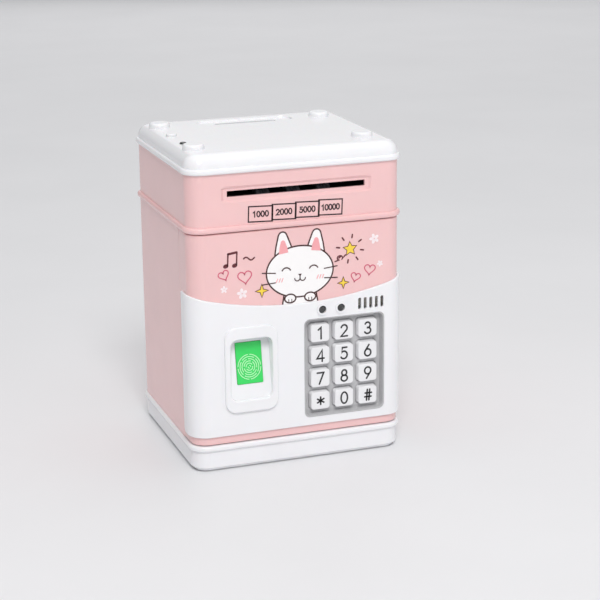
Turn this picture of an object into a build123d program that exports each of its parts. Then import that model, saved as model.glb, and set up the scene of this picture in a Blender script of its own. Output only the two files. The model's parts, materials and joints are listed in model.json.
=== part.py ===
from build123d import *
import os
from math import acos, atan2, cos, pi, radians, sin, sqrt, tan

# Toy safe coin bank. Millimetres, +Z up, the door faces -Y, the origin is at the
# bottom centre of the base. Every sub-part is written as its own STEP file.

# ---------------------------------------------------------------- driving dimensions
WIDTH = 130.0               # across the three beads, along X
DEPTH = 117.2               # across the three beads, along Y
BEAD_RADIUS = 11.0          # plan corner radius of the beads
BEAD_HEIGHT = 3.5
WALL = 2.4                  # general wall of the mouldings
RUN_GAP = 0.35              # gap beside parts that move

FOOT_STAND = 0.5            # how far the rubber feet stand out below the base
BASE_BEAD_Z = 12.5          # underside of the base bead
BASE_TOP_Z = 16.0
MID_BEAD_Z = 140.45         # underside of the middle bead
LID_BEAD_Z = 173.35         # underside of the lid bead
LID_TOP_Z = 184.5
STUD_HEIGHT = 2.8           # corner studs on the lid
STUD_RADIUS = 6.4

PLINTH_INSET = 1.6
LOWER_INSET = 1.6
UPPER_INSET = 1.75
LID_INSET = 1.5

SEAM_Y = -36.0              # rear edge of the door
HINGE_R = 2.4               # rounded hinge edge of the door
PIN_R = 1.0
PIN_FIT = 0.05              # running fit of pins and shafts
DOOR_LOW = 16.5
DOOR_HIGH = 139.9

FLOOR_Z = 20.2              # underside of the cash room floor
JAMB_HALF = 53.0            # half width of the doorway
JAMB_LOW = 24.5
JAMB_HIGH = 131.5

FASCIA_LOW = 21.3
FASCIA_MID = 95.4           # top edge of the white fascia at the middle
FASCIA_SIDE = 106.6         # and at the sides
FASCIA_REAR = -41.2         # where its side wraps end
FASCIA_SKIN = 1.5

KEYPAD_X = 27.3
KEYPAD_Z = 55.9
KEYPAD_W = 49.4
KEYPAD_H = 59.4
KEY_W = 11.3
KEY_H = 10.3
KEY_PITCH_X = 14.65
KEY_PITCH_Z = 13.65
KEY_STAND = 5.2               # from a key's flange to its front
KEY_DRAFT = 6.0               # side taper of a key, degrees
TRAY_DEPTH = 4.2              # tray floor behind the fascia's front
TRAY_FLOOR = 1.3              # thickness of the tray floor
KEY_ROWS = (("1", "2", "3"), ("4", "5", "6"), ("7", "8", "9"), ("star", "0", "hash"))

FINGER_X = -29.4
FINGER_Z = 60.3
FINGER_W = 31.5
FINGER_H = 50.6
FINGER_OPEN_W = 24.8
FINGER_OPEN_H = 36.3
FINGER_PROUD = 1.8
RAMP_DEEP = 8.4               # ramp depth at the top of the finger recess
RAMP_SHALLOW = 2.4            # and at its foot
LENS_W = 15.3
LENS_H = 23.9
LENS_RAISE = 2.4              # lens centre above the recess centre, up the ramp

LAMP_X = (13.8, 25.1)
LAMP_Z = 90.7
VENT_X = 36.7
VENT_PITCH = 3.45
VENT_COUNT = 5
VENT_Z = 91.7

SLOT_W = 81.6
SLOT_H = 3.4
SLOT_Z = 161.8
ROLLER_Y = -46.0
WHEEL_R = 6.0
WHEEL_X = (-18.0, 0.0, 18.0)
SHAFT_R = 1.5
PLATE_X = 47.2              # middle of the feeder's side plates

COIN_Y = 36.5
COIN_LONG = 38.0
COIN_WIDE = 3.2
COIN_DISH = (59.0, 15.0)      # shallow dish round the coin slot
CHUTE_HALF = COIN_LONG / 2 + 1
CHUTE_WALL = 1.5
BUTTON_X = -54.3
BUTTON_Y = 6.9
LAMP_DOT = (-54.6, -19.2)     # small dark lamp in the lid

FEED_MODULE = 0.6
ROLLER_TEETH = 24
PINION_TEETH = 12
LOCK_TEETH = 10

BATTERY_R = 7.1
BATTERY_LONG = 50.0
BATTERY_PITCH = 15.2
BATTERY_Y = 6.0

# ---------------------------------------------------------------- worked-out places
FRONT = -DEPTH / 2                              # front plane of beads and fascia
LOWER_FRONT = FRONT + LOWER_INSET               # front face of the pink door
DOOR_INNER = LOWER_FRONT + WALL
UPPER_FRONT = FRONT + UPPER_INSET
HINGE_X = WIDTH / 2 - LOWER_INSET - HINGE_R
HINGE_Y = SEAM_Y - HINGE_R
SHELL_FRONT = SEAM_Y + RUN_GAP                  # front edges of the fixed walls
DRIVE_Z = SLOT_Z - WHEEL_R - 0.15
IDLER_Z = SLOT_Z + WHEEL_R + 0.15
GEAR_R = FEED_MODULE * ROLLER_TEETH / 2
PINION_R = FEED_MODULE * PINION_TEETH / 2
LOCK_R = FEED_MODULE * LOCK_TEETH / 2
MOTOR_Y = ROLLER_Y + 10.0
MOTOR_Z = DRIVE_Z - sqrt((GEAR_R + PINION_R) ** 2 - 10.0 ** 2)
BOLT_X = -52.0
BOLT_Y = -49.0
LOCK_PITCH_Y = BOLT_Y + 1.8                     # pitch line of the bolt's teeth
LOCK_Y = LOCK_PITCH_Y + LOCK_R
LOCK_Z = 116.0
RECESS_FLOOR = FRONT + TRAY_DEPTH               # floor of the keypad tray
FLANGE_FRONT = RECESS_FLOOR + TRAY_FLOOR + 0.2  # front of the key flanges
MAT_FRONT = FLANGE_FRONT + 2.5                  # clear of a key that is pressed home
BEZEL_FRONT = FRONT - FINGER_PROUD
PLATE_FRONT = SEAM_Y - WALL                     # front of the door's back plate
DECK_LOW = MID_BEAD_Z
DECK_HIGH = DECK_LOW + 2.5
GUIDE_BACK = -24.0
FRAME_FRONT = -52.2
FRAME_BACK = -28.0
GEAR_X0 = PLATE_X + 2.0
GEAR_X1 = PLATE_X + 6.0
BATTERY_Z = 10.9
BOLT_TOP = DOOR_HIGH - 0.4
BOLT_FOOT = 104.0
RACK_STEP = pi * FEED_MODULE

FOOT_PLACES = [(x, y) for x in (-50.0, 50.0) for y in (-43.0, 43.0)]
BASE_SCREWS = [(x, y) for x in (-54.0, 54.0) for y in (-22.0, 28.0)]
DECK_SCREWS = [(x, y) for x in (-56.5, 56.5) for y in (-30.0, 50.0)]
STUD_PLACES = [(x, y) for x in (-53.2, 47.2) for y in (-35.0, 36.6)]
LID_CLIPS = [(x, y) for x in (-30.0, 30.0) for y in (4 - DEPTH / 2, DEPTH / 2 - 4)]
DOOR_POSTS = [(-54.0, 27.0), (-54.0, 100.0), (-40.0, 131.0),
              (56.2, 27.0), (56.2, 100.0), (56.2, 131.0)]
WINDOW = (-46.0, 54.0, 24.0, 93.6)              # hole in the pink door behind the fascia
VENT_PLACES = [VENT_X + VENT_PITCH * index for index in range(VENT_COUNT)]
VENT_MID = sum(VENT_PLACES) / VENT_COUNT


# ---------------------------------------------------------------- general shapes
def write(name, shape):
    """Write one sub-part, as one solid or as a group of separate solids."""
    os.makedirs("parts", exist_ok=True)
    export_step(shape, "parts/" + name + ".step")


def slab(inset, low, high, radius=None):
    """An upright block with rounded corners, set in from the beads' outline."""
    corner = BEAD_RADIUS - inset if radius is None else radius
    outline = RectangleRounded(WIDTH - 2 * inset, DEPTH - 2 * inset, corner)
    return Pos(0, 0, low) * extrude(outline, high - low)


def ring(outer, inner, low, high):
    """A rounded wall between two insets."""
    return slab(outer, low, high) - slab(inner, low - 1, high + 1)


def block(x0, x1, y0, y1, z0, z1):
    """A plain block between two corners."""
    centre = Pos((x0 + x1) / 2, (y0 + y1) / 2, (z0 + z1) / 2)
    return centre * Box(x1 - x0, y1 - y0, z1 - z0)


def prism(x, z, wide, high, corner, y0, y1):
    """A rounded rectangle seen from the front, running from y0 back to y1."""
    sketch = Plane(origin=(x, y0, z), x_dir=(1, 0, 0), z_dir=(0, 1, 0))
    return extrude(sketch * RectangleRounded(wide, high, corner), y1 - y0)


def rod_z(x, y, radius, low, high):
    """A round post along Z."""
    return Pos(x, y, (low + high) / 2) * Cylinder(radius, high - low)


def rod_x(y, z, radius, x0, x1):
    """A round bar along X."""
    return Pos((x0 + x1) / 2, y, z) * Rot(0, 90, 0) * Cylinder(radius, x1 - x0)


def rod_y(x, z, radius, y0, y1):
    """A round bar along Y."""
    return Pos(x, (y0 + y1) / 2, z) * Rot(90, 0, 0) * Cylinder(radius, y1 - y0)


def front_of(shape, y):
    """The part of a shape that lies in front of y."""
    return shape & block(-200, 200, -200, y, -10, 300)


def behind(shape, y):
    """The part of a shape that lies behind y."""
    return shape & block(-200, 200, y, 200, -10, 300)


def flank_angle(teeth, module, rho, slack):
    """Half the angle that a tooth fills at radius rho, on a 20 degree involute."""
    pitch = module * teeth / 2
    base = pitch * cos(radians(20))
    half = pi / (2 * teeth) - slack / (2 * pitch)
    press = acos(min(1.0, base / max(rho, base)))
    return half + (tan(radians(20)) - radians(20)) - (tan(press) - press)


def gear_face(module, teeth, turn=0.0, slack=0.16):
    """A spur gear outline with involute flanks; one tooth points at angle turn."""
    pitch = module * teeth / 2
    root = pitch - 1.15 * module
    tip = pitch + 0.8 * module
    steps = 4
    points = []
    for tooth in range(teeth):
        middle = turn + 2 * pi * tooth / teeth
        for side in (-1, 1):
            radii = [root + (tip - root) * k / steps for k in range(steps + 1)]
            for rho in radii if side < 0 else reversed(radii):
                angle = middle + side * flank_angle(teeth, module, rho, slack)
                points.append((rho * cos(angle), rho * sin(angle)))
    return make_face(Polyline(*points, close=True))


def gear_x(module, teeth, y, z, x0, x1, bore, turn):
    """A spur gear on an axis along X."""
    plane = Plane(origin=(x0, y, z), x_dir=(0, 1, 0), z_dir=(1, 0, 0))
    wheel = extrude(plane * gear_face(module, teeth, turn), x1 - x0)
    return wheel - rod_x(y, z, bore, x0 - 1, x1 + 1)


def gearmotor(y, z, x_face, x_back, shaft_to):
    """A small geared can motor along X: gearbox block, flat-sided can, shaft."""
    side = 1 if x_back > x_face else -1
    split = x_face + side * 9.0
    low, high = sorted((x_face, split))
    box = block(low, high, y - 5, y + 5, z - 6, z + 6)
    low, high = sorted((split, x_back))
    can = rod_x(y, z, 6.0, low, high) & block(low, high, y - 5, y + 5, z - 6, z + 6)
    low, high = sorted((x_face + side * 0.1, shaft_to))
    return box + can + rod_x(y, z, SHAFT_R, low, high)


# ---------------------------------------------------------------- base
def base_tray():
    """White base: plinth with a chamfered foot, bead, front sill, screw sleeves."""
    plinth = slab(PLINTH_INSET, FOOT_STAND, BASE_BEAD_Z + 1)
    plinth = chamfer(plinth.edges().group_by(Axis.Z)[0], 2.3)
    bead = slab(0, BASE_BEAD_Z, BASE_TOP_Z)
    bead = fillet(bead.edges().group_by(Axis.Z)[0] + bead.edges().group_by(Axis.Z)[-1], 1.5)
    tray = plinth + bead
    tray -= slab(PLINTH_INSET + WALL, FOOT_STAND + 2.4, BASE_TOP_Z + 1)
    sill = slab(PLINTH_INSET + 1, BASE_TOP_Z - 2.2, BASE_TOP_Z)
    tray += front_of(sill, SHELL_FRONT)
    tray += rod_z(HINGE_X, HINGE_Y, 2.6, 6.0, BASE_TOP_Z) & slab(2, 0, 20)
    tray -= rod_z(HINGE_X, HINGE_Y, PIN_R, 8.0, BASE_TOP_Z + 1)
    for x, y in FOOT_PLACES:
        tray -= rod_z(x, y, 5.3, 0, FOOT_STAND + 0.8)
    for x, y in BASE_SCREWS:
        tray += rod_z(x, y, 4.4, FOOT_STAND + 2, 8.0)
        tray -= rod_z(x, y, 3.0, 0, 4.5)
        tray -= rod_z(x, y, 1.7, 0, 9.0)
    tray -= block(-30.0, 30.0, BATTERY_Y - 23.6, BATTERY_Y + 23.6, 0, 5)
    tray += rod_z(35.5, BATTERY_Y, 4.5, FOOT_STAND + 2.2, 9.5)
    tray -= block(-30.0, 41.0, BATTERY_Y - 9, BATTERY_Y + 9, 0, FOOT_STAND + 2.2)
    tray -= rod_z(35.5, BATTERY_Y, 1.1, 0, 9.0)
    return tray


def rubber_feet():
    """Four round pads pressed into pockets under the base."""
    pads = []
    for x, y in FOOT_PLACES:
        pad = rod_z(x, y, 5.0, 0, FOOT_STAND + 0.8)
        pads.append(chamfer(pad.edges().group_by(Axis.Z)[0], 0.3))
    return Compound(children=pads)


def base_screws():
    """Four screws up through the base into the posts of the pink case."""
    screws = []
    for x, y in BASE_SCREWS:
        screw = rod_z(x, y, 2.8, 2.9, 4.5) + rod_z(x, y, 1.4, 4.4, 15.0)
        screws.append(screw - block(x - 2, x + 2, y - 0.35, y + 0.35, 2, 3.6))
    return Compound(children=screws)


# ---------------------------------------------------------------- battery bay
def battery_box():
    """Black tub for three cells, open at the bottom, behind the base's cover."""
    half = 1.5 * BATTERY_PITCH + 0.6
    low, high = FOOT_STAND + 2.4, 19.9
    tub = block(-30.6, 30.6, BATTERY_Y - half - 1.6, BATTERY_Y + half + 1.6, low, high)
    tub -= block(-29.0, 29.0, BATTERY_Y - half, BATTERY_Y + half, low - 1, high - 1.6)
    for step in (-0.5, 0.5):
        y = BATTERY_Y + step * BATTERY_PITCH
        tub += block(-29.5, 29.5, y - 0.3, y + 0.3, BATTERY_Z + 4.5, high - 1)
    return tub


def batteries():
    """Three round cells lying side by side along X, alternate ways round."""
    cells = []
    for index in (-1, 0, 1):
        y = BATTERY_Y + index * BATTERY_PITCH
        tip = 1 if index == 0 else -1
        half = BATTERY_LONG / 2
        can = rod_x(y, BATTERY_Z, BATTERY_R, -half + 0.5, half - 0.5)
        nub = rod_x(y, BATTERY_Z, 2.7, *sorted((tip * (half - 1), tip * (half + 0.7))))
        cells.append(can + nub)
    return Compound(children=cells)


def battery_contacts():
    """Metal contact plates at each end of the tub, with pressed spring coils."""
    pieces = []
    for index in (-1, 0, 1):
        y = BATTERY_Y + index * BATTERY_PITCH
        tip = 1 if index == 0 else -1
        plus = sorted((tip * 27.9, tip * 28.9))
        pieces.append(block(*plus, y - 5, y + 5, BATTERY_Z - 5, BATTERY_Z + 5))
        minus = sorted((-tip * 28.3, -tip * 28.9))
        plate = block(*minus, y - 5, y + 5, BATTERY_Z - 5, BATTERY_Z + 5)
        for turn in range(3):
            place = sorted((-tip * (25.3 + turn), -tip * (26.5 + turn)))
            coil = rod_x(y, BATTERY_Z, 2.4 + 0.6 * turn, *place)
            core = rod_x(y, BATTERY_Z, 1.6 + 0.6 * turn, *place)
            plate += coil - core
        pieces.append(plate)
    return Compound(children=pieces)


def battery_cover():
    """Flat cover of the battery bay, with a screw ear and a finger groove."""
    low, high = FOOT_STAND + 0.1, FOOT_STAND + 2.1
    cover = block(-29.7, 29.7, BATTERY_Y - 23.3, BATTERY_Y + 23.3, low, high)
    cover += block(20, 40.7, BATTERY_Y - 8.7, BATTERY_Y + 8.7, low, high)
    corners = cover.edges().filter_by(Axis.Z)
    cover = fillet([e for e in corners if abs(e.center().X) > 35], 3.0)
    for index in range(5):
        x = -26.0 + 2.2 * index
        cover -= block(x, x + 1.0, BATTERY_Y - 8, BATTERY_Y + 8, 0, low + 0.5)
    cover -= rod_z(35.5, BATTERY_Y, 2.4, 0, low + 1.1)
    cover -= rod_z(35.5, BATTERY_Y, 1.35, 0, 5)
    return cover


def cover_screw():
    """Captive screw in the cover's ear."""
    x, y = 35.5, BATTERY_Y
    screw = rod_z(x, y, 2.2, FOOT_STAND + 0.2, FOOT_STAND + 1.2)
    screw += rod_z(x, y, 1.0, FOOT_STAND + 1.1, 7.5)
    screw -= block(x - 1.6, x + 1.6, y - 0.3, y + 0.3, 0, FOOT_STAND + 0.7)
    screw -= block(x - 0.3, x + 0.3, y - 1.6, y + 1.6, 0, FOOT_STAND + 0.7)
    return screw


# ---------------------------------------------------------------- pink case
def body_shell():
    """Pink case: back and side walls, floor, door frame, four corner posts."""
    low, high = BASE_TOP_Z + 0.05, MID_BEAD_Z - 0.05
    shell = behind(ring(LOWER_INSET, LOWER_INSET + WALL, low, high), SHELL_FRONT)
    inner = behind(slab(LOWER_INSET + 1, low, high), SHELL_FRONT)
    shell += inner & block(-70, 70, -60, 60, FLOOR_Z, FLOOR_Z + 2)
    frame = inner & block(-70, 70, SHELL_FRONT, SHELL_FRONT + 2.2, low, high)
    shell += frame - prism(0, (JAMB_LOW + JAMB_HIGH) / 2, 2 * JAMB_HALF,
                           JAMB_HIGH - JAMB_LOW, 5, -60, 0)
    lip = behind(ring(PLINTH_INSET + WALL + 0.2, PLINTH_INSET + WALL + 1.8, 11.0, low + 1),
                 SHELL_FRONT)
    shell += lip
    for x, y in BASE_SCREWS:
        shell += rod_z(x, y, 3.6, 8.1, FLOOR_Z + 1)
        shell -= rod_z(x, y, 1.4, 0, FLOOR_Z - 2)
    for x, y in DECK_SCREWS:
        shell += rod_z(x, y, 3.6, FLOOR_Z + 1, high)
        shell -= rod_z(x, y, 1.3, high - 14, high + 1)
    return shell


def deck_plate():
    """Plate between the cash room and the feeder, with the note drop and chute hole."""
    deck = slab(UPPER_INSET + WALL + 0.15, DECK_LOW, DECK_HIGH)
    deck -= rod_z(HINGE_X, HINGE_Y, 2.9, DECK_LOW - 1, DECK_HIGH + 1)
    deck -= block(-46, 46, -22, 4, DECK_LOW - 1, DECK_HIGH + 1)
    reach = CHUTE_HALF + CHUTE_WALL + 0.3
    deck -= block(-reach, reach, COIN_Y - 4.3, COIN_Y + 4.3, DECK_LOW - 1, DECK_HIGH + 1)
    deck -= block(BOLT_X - 3.6, BOLT_X + 3.6, BOLT_Y - 2.2, BOLT_Y + 2.2, DECK_LOW - 1, 150)
    deck -= rod_z(48, -33, 3.0, DECK_LOW - 1, DECK_HIGH + 1)
    for x, y in DECK_SCREWS:
        deck -= rod_z(x, y, 1.7, DECK_LOW - 1, DECK_HIGH + 1)
    return deck


def deck_screws():
    """Four screws that hold the deck down on the case posts."""
    screws = []
    for x, y in DECK_SCREWS:
        screw = rod_z(x, y, 2.8, DECK_HIGH, DECK_HIGH + 1.6)
        screw += rod_z(x, y, 1.3, DECK_HIGH - 12, DECK_HIGH + 0.1)
        screws.append(screw - block(x - 2, x + 2, y - 0.35, y + 0.35, 143.9, 150))
    return Compound(children=screws)


def hinge_pins():
    """Two steel pins, one in the base sill and one in the upper housing."""
    low = rod_z(HINGE_X, HINGE_Y, PIN_R, 8.0, DOOR_LOW + 7.6)
    high = rod_z(HINGE_X, HINGE_Y, PIN_R, DOOR_HIGH - 7.6, 146.0)
    return Compound(children=[low, high])


def upper_shell():
    """Pink upper housing: bead at its foot, dished note slot in its front."""
    top = LID_BEAD_Z - 0.05
    walls = slab(UPPER_INSET, MID_BEAD_Z, top)
    bead = slab(0, MID_BEAD_Z, MID_BEAD_Z + BEAD_HEIGHT)
    bead = fillet(bead.edges().group_by(Axis.Z)[0] + bead.edges().group_by(Axis.Z)[-1], 1.55)
    shell = walls + bead
    shell -= slab(UPPER_INSET + WALL, MID_BEAD_Z - 1, top + 1)
    shell += rod_z(HINGE_X, HINGE_Y, 2.6, MID_BEAD_Z, 148.0) & slab(1.8, 100, 160)
    shell -= rod_z(HINGE_X, HINGE_Y, PIN_R, MID_BEAD_Z - 1, 146.0)
    dish = Plane(origin=(0, UPPER_FRONT, SLOT_Z - 0.2), x_dir=(1, 0, 0), z_dir=(0, 1, 0))
    shell -= extrude(dish * RectangleRounded(SLOT_W + 7.4, 9.2, 1.2), 1.1, taper=52)
    shell -= block(-SLOT_W / 2, SLOT_W / 2, -70, -50, SLOT_Z - SLOT_H / 2, SLOT_Z + SLOT_H / 2)
    for x, y in LID_CLIPS:
        shell -= block(x - 5.2, x + 5.2, y - 3, y + 3, 166.0, 168.4) & slab(2.5, 100, 190)
    return shell


# ---------------------------------------------------------------- lid
def lid():
    """White lid: bead, crowned top, four round corner studs, coin slot in a groove."""
    inner_top = LID_TOP_Z - WALL
    bead = slab(0, LID_BEAD_Z, LID_BEAD_Z + BEAD_HEIGHT)
    bead = fillet(bead.edges().group_by(Axis.Z)[0] + bead.edges().group_by(Axis.Z)[-1], 1.5)
    dome = slab(LID_INSET, LID_BEAD_Z + 1, LID_TOP_Z)
    dome = fillet(dome.edges().group_by(Axis.Z)[-1], 7.0)
    cover = bead + dome
    hollow = slab(LID_INSET + WALL + 0.4, LID_BEAD_Z - 1, inner_top)
    hollow = fillet(hollow.edges().group_by(Axis.Z)[-1], 5.0)
    cover -= hollow
    cover += ring(UPPER_INSET + WALL + 0.15, UPPER_INSET + WALL + 1.75, 168.6, LID_BEAD_Z + 1)
    for x, y in STUD_PLACES:
        stud = Pos(x, y, LID_TOP_Z - 2) * extrude(Circle(STUD_RADIUS), STUD_HEIGHT + 2, taper=5)
        cover += fillet(stud.edges().group_by(Axis.Z)[-1], 1.5)
    dish = Pos(0, COIN_Y + 1, LID_TOP_Z) * RectangleRounded(*COIN_DISH, 6.0)
    cover -= extrude(dish, -0.9, taper=30)
    cover -= block(-COIN_LONG / 2, COIN_LONG / 2, COIN_Y - COIN_WIDE / 2,
                   COIN_Y + COIN_WIDE / 2, 170, 190)
    cover -= rod_z(BUTTON_X, BUTTON_Y, 3.25, 170, 190)
    cover -= rod_z(*LAMP_DOT, 2.15, 170, 190)
    for y in (-11.0, 0.0):
        cover += rod_z(BUTTON_X + 1, y, 1.6, LID_TOP_Z - 7.85, inner_top + 0.1)
    return cover


def lid_button():
    """Small round push button near the lid's left edge, with a flange below."""
    cap = rod_z(BUTTON_X, BUTTON_Y, 3.0, LID_TOP_Z - 3.6, LID_TOP_Z + 1.3)
    cap = fillet(cap.edges().group_by(Axis.Z)[-1], 0.6)
    return cap + rod_z(BUTTON_X, BUTTON_Y, 3.7, LID_TOP_Z - 4.2, LID_TOP_Z - 3.4)


def button_switch():
    """Tact switch on a narrow board that hangs from two posts under the lid."""
    top = LID_TOP_Z - 7.9
    board = block(BUTTON_X - 2.5, BUTTON_X + 4, LAMP_DOT[1] - 4, BUTTON_Y + 5, top - 1.2, top)
    body = block(BUTTON_X - 2.4, BUTTON_X + 2.4, BUTTON_Y - 3, BUTTON_Y + 3, top - 0.1, top + 2.2)
    return board + body + rod_z(BUTTON_X, BUTTON_Y, 1.6, top + 2.1, top + 2.5)


def lid_lamp():
    """Small dark lamp on the switch board; its dome stands out of the lid."""
    lamp = rod_z(*LAMP_DOT, 2.05, LID_TOP_Z - 7.85, LID_TOP_Z + 1.0)
    return fillet(lamp.edges().group_by(Axis.Z)[-1], 0.95)


def coin_chute():
    """Straight black chute from the coin slot down into the cash room."""
    half, deep = CHUTE_HALF + CHUTE_WALL, 2.5 + CHUTE_WALL
    outer = block(-half, half, COIN_Y - deep, COIN_Y + deep, 137.5, LID_TOP_Z - WALL - 0.1)
    return outer - block(-CHUTE_HALF, CHUTE_HALF, COIN_Y - 2.5, COIN_Y + 2.5, 130, 190)


# ---------------------------------------------------------------- note feeder
def note_guide():
    """Black note channel behind the slot, with windows for the rollers."""
    low, high = SLOT_Z - 4.1, SLOT_Z + 4.1
    guide = block(-45.2, 45.2, UPPER_FRONT + WALL + 0.05, GUIDE_BACK, low, high)
    guide -= block(-42.6, 42.6, -60, 0, SLOT_Z - 1.9, SLOT_Z + 1.9)
    for x in WHEEL_X:
        guide -= block(x - 4.7, x + 4.7, ROLLER_Y - 6.8, ROLLER_Y + 6.8, low - 1, high + 1)
    guide -= rod_x(ROLLER_Y, DRIVE_Z, SHAFT_R + 0.8, -50, 50)
    guide -= rod_x(ROLLER_Y, IDLER_Z, SHAFT_R + 0.8, -50, 50)
    return guide


def feed_frame():
    """Pressed frame: base plate and two side plates that carry both shafts."""
    frame = block(-PLATE_X - 1, PLATE_X + 1, FRAME_FRONT, FRAME_BACK, DECK_HIGH + 0.1, DECK_HIGH + 1.7)
    for side in (-1, 1):
        x0, x1 = sorted((side * (PLATE_X - 1), side * (PLATE_X + 1)))
        frame += block(x0, x1, FRAME_FRONT, FRAME_BACK, DECK_HIGH + 0.1, IDLER_Z + 4)
    frame -= rod_x(ROLLER_Y, DRIVE_Z, SHAFT_R + PIN_FIT, -60, 60)
    frame -= rod_x(ROLLER_Y, IDLER_Z, SHAFT_R + PIN_FIT, -60, 60)
    frame -= rod_x(MOTOR_Y, MOTOR_Z, SHAFT_R + 0.3, 0, 60)
    return frame


def feed_motor():
    """Geared motor that turns the note rollers."""
    return gearmotor(MOTOR_Y, MOTOR_Z, PLATE_X - 1, PLATE_X - 23, PLATE_X + 1.8)


def shaft(z, x0, x1):
    """A plain steel shaft with broken edges."""
    bar = rod_x(ROLLER_Y, z, SHAFT_R, x0, x1)
    return chamfer(bar.edges().filter_by(GeomType.CIRCLE), 0.25)


def wheels(z):
    """Three grooved rubber wheels on a shaft."""
    tyres = []
    for x in WHEEL_X:
        tyre = rod_x(ROLLER_Y, z, WHEEL_R, x - 4, x + 4)
        tyre = chamfer(tyre.edges().filter_by(GeomType.CIRCLE), 0.4)
        for groove in (-1.6, 0.0, 1.6):
            band = rod_x(ROLLER_Y, z, WHEEL_R + 1, x + groove - 0.35, x + groove + 0.35)
            tyre -= band - rod_x(ROLLER_Y, z, WHEEL_R - 0.5, x - 4, x + 4)
        tyres.append(tyre - rod_x(ROLLER_Y, z, SHAFT_R, x - 5, x + 5))
    return Compound(children=tyres)


def roller_gear():
    """Gear on the drive shaft's end; one tooth points at the pinion."""
    towards = atan2(MOTOR_Z - DRIVE_Z, MOTOR_Y - ROLLER_Y)
    return gear_x(FEED_MODULE, ROLLER_TEETH, ROLLER_Y, DRIVE_Z, GEAR_X0, GEAR_X1, SHAFT_R, towards)


def motor_pinion():
    """Pinion on the motor's shaft, with a gap facing the roller gear."""
    towards = atan2(DRIVE_Z - MOTOR_Z, ROLLER_Y - MOTOR_Y) + pi / PINION_TEETH
    pinion = gear_x(FEED_MODULE, PINION_TEETH, MOTOR_Y, MOTOR_Z, GEAR_X0, GEAR_X1, SHAFT_R, towards)
    return pinion + rod_x(MOTOR_Y, MOTOR_Z, SHAFT_R, PLATE_X + 2.0, GEAR_X1 + 0.6)


def feed_board():
    """Driver board on the deck with its chip, connector and capacitor."""
    board = block(-50, -22, 10, 38, DECK_HIGH + 1.6, DECK_HIGH + 3.2)
    board += block(-42, -32, 18, 28, DECK_HIGH + 3.1, DECK_HIGH + 4.7)
    board += block(-48, -38, 31, 36, DECK_HIGH + 3.1, DECK_HIGH + 9.0)
    board += rod_z(-27, 33, 3.0, DECK_HIGH + 3.1, DECK_HIGH + 10.0)
    for x in (-47, -25):
        board += rod_z(x, 13, 2.0, DECK_HIGH + 0.1, DECK_HIGH + 1.7)
    return board


# ---------------------------------------------------------------- door
def door_panel():
    """Pink door: front with wrapped corners, rim, hinge edge, screw posts."""
    skin = slab(LOWER_INSET, DOOR_LOW, DOOR_HIGH)
    skin = fillet(skin.edges().group_by(Axis.Z)[0] + skin.edges().group_by(Axis.Z)[-1], 0.6)
    panel = skin - slab(LOWER_INSET + WALL, DOOR_LOW + WALL, DOOR_HIGH - WALL)
    panel = front_of(panel, SEAM_Y)
    hinge_wall = block(HINGE_X, 70, HINGE_Y, 0, 0, 200)
    panel -= hinge_wall
    barrel = rod_z(HINGE_X, HINGE_Y, HINGE_R, DOOR_LOW, DOOR_HIGH)
    web = block(HINGE_X - 1.5, HINGE_X + HINGE_R, HINGE_Y - 3, HINGE_Y, DOOR_LOW, DOOR_HIGH)
    panel += barrel + web
    for x, z in DOOR_POSTS:
        panel += rod_y(x, z, 3.0, DOOR_INNER - 0.5, PLATE_FRONT)
        panel -= rod_y(x, z, 1.1, DOOR_INNER + 2, 0)
    panel -= block(WINDOW[0], WINDOW[1], -70, DOOR_INNER + 0.05, WINDOW[2], WINDOW[3])
    panel -= block(VENT_MID - 8.6, VENT_MID + 8.6, -70, DOOR_INNER + 0.05, 90, VENT_Z + 4.6)
    for end in (DOOR_LOW - 1, DOOR_HIGH - 8):
        panel -= rod_z(HINGE_X, HINGE_Y, PIN_R + PIN_FIT, end, end + 9)
    panel -= block(BOLT_X - 3.4, BOLT_X + 3.4, BOLT_Y - 2.0, BOLT_Y + 2.0, 130, 150)
    return panel


def smile_outline():
    """Front outline of the fascia: straight sides and foot, sagging curved top."""
    half = WIDTH / 2 + 3
    left = (-half, FASCIA_SIDE)
    right = (half, FASCIA_SIDE)
    sketch = Plane(origin=(0, -80, 0), x_dir=(1, 0, 0), z_dir=(0, -1, 0))
    top = ThreePointArc(left, (0, FASCIA_MID), right)
    rest = Polyline(right, (half, FASCIA_LOW), (-half, FASCIA_LOW), left)
    return extrude(sketch * make_face([top, rest]), -60)


def side_outline():
    """Side outline of the fascia: its rear lower corner is rounded."""
    sketch = Plane(origin=(-80, 0, 0), x_dir=(0, 1, 0), z_dir=(1, 0, 0))
    rear, low, turn = FASCIA_REAR, FASCIA_LOW, 3.5
    arc = RadiusArc((rear - turn, low), (rear, low + turn), -turn)
    rest = Polyline((rear, low + turn), (rear, 160), (-90, 160), (-90, low), (rear - turn, low))
    return extrude(sketch * make_face([arc, rest]), 160)


def door_fascia():
    """White fascia over the door's lower part, wrapped round both corners."""
    skin = slab(0, 0, 130) - slab(FASCIA_SKIN, -1, 131)
    skin = skin & smile_outline() & side_outline()
    skin = fillet(outer_rim(skin), 0.7)
    skin -= prism(KEYPAD_X, KEYPAD_Z, KEYPAD_W, KEYPAD_H, 3.6, -70, -50)
    skin -= prism(FINGER_X, FINGER_Z, FINGER_OPEN_W + 3.4, FINGER_OPEN_H + 3.4, 5.5, -70, -50)
    for x in LAMP_X:
        skin += rod_y(x, LAMP_Z, 3.4, FRONT - 0.7, FRONT + 0.5)
        skin -= rod_y(x, LAMP_Z, 2.3, -70, -50)
    for x in VENT_PLACES:
        skin -= prism(x, VENT_Z, 1.9, 6.9, 0.94, -70, -50)
    return skin


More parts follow.
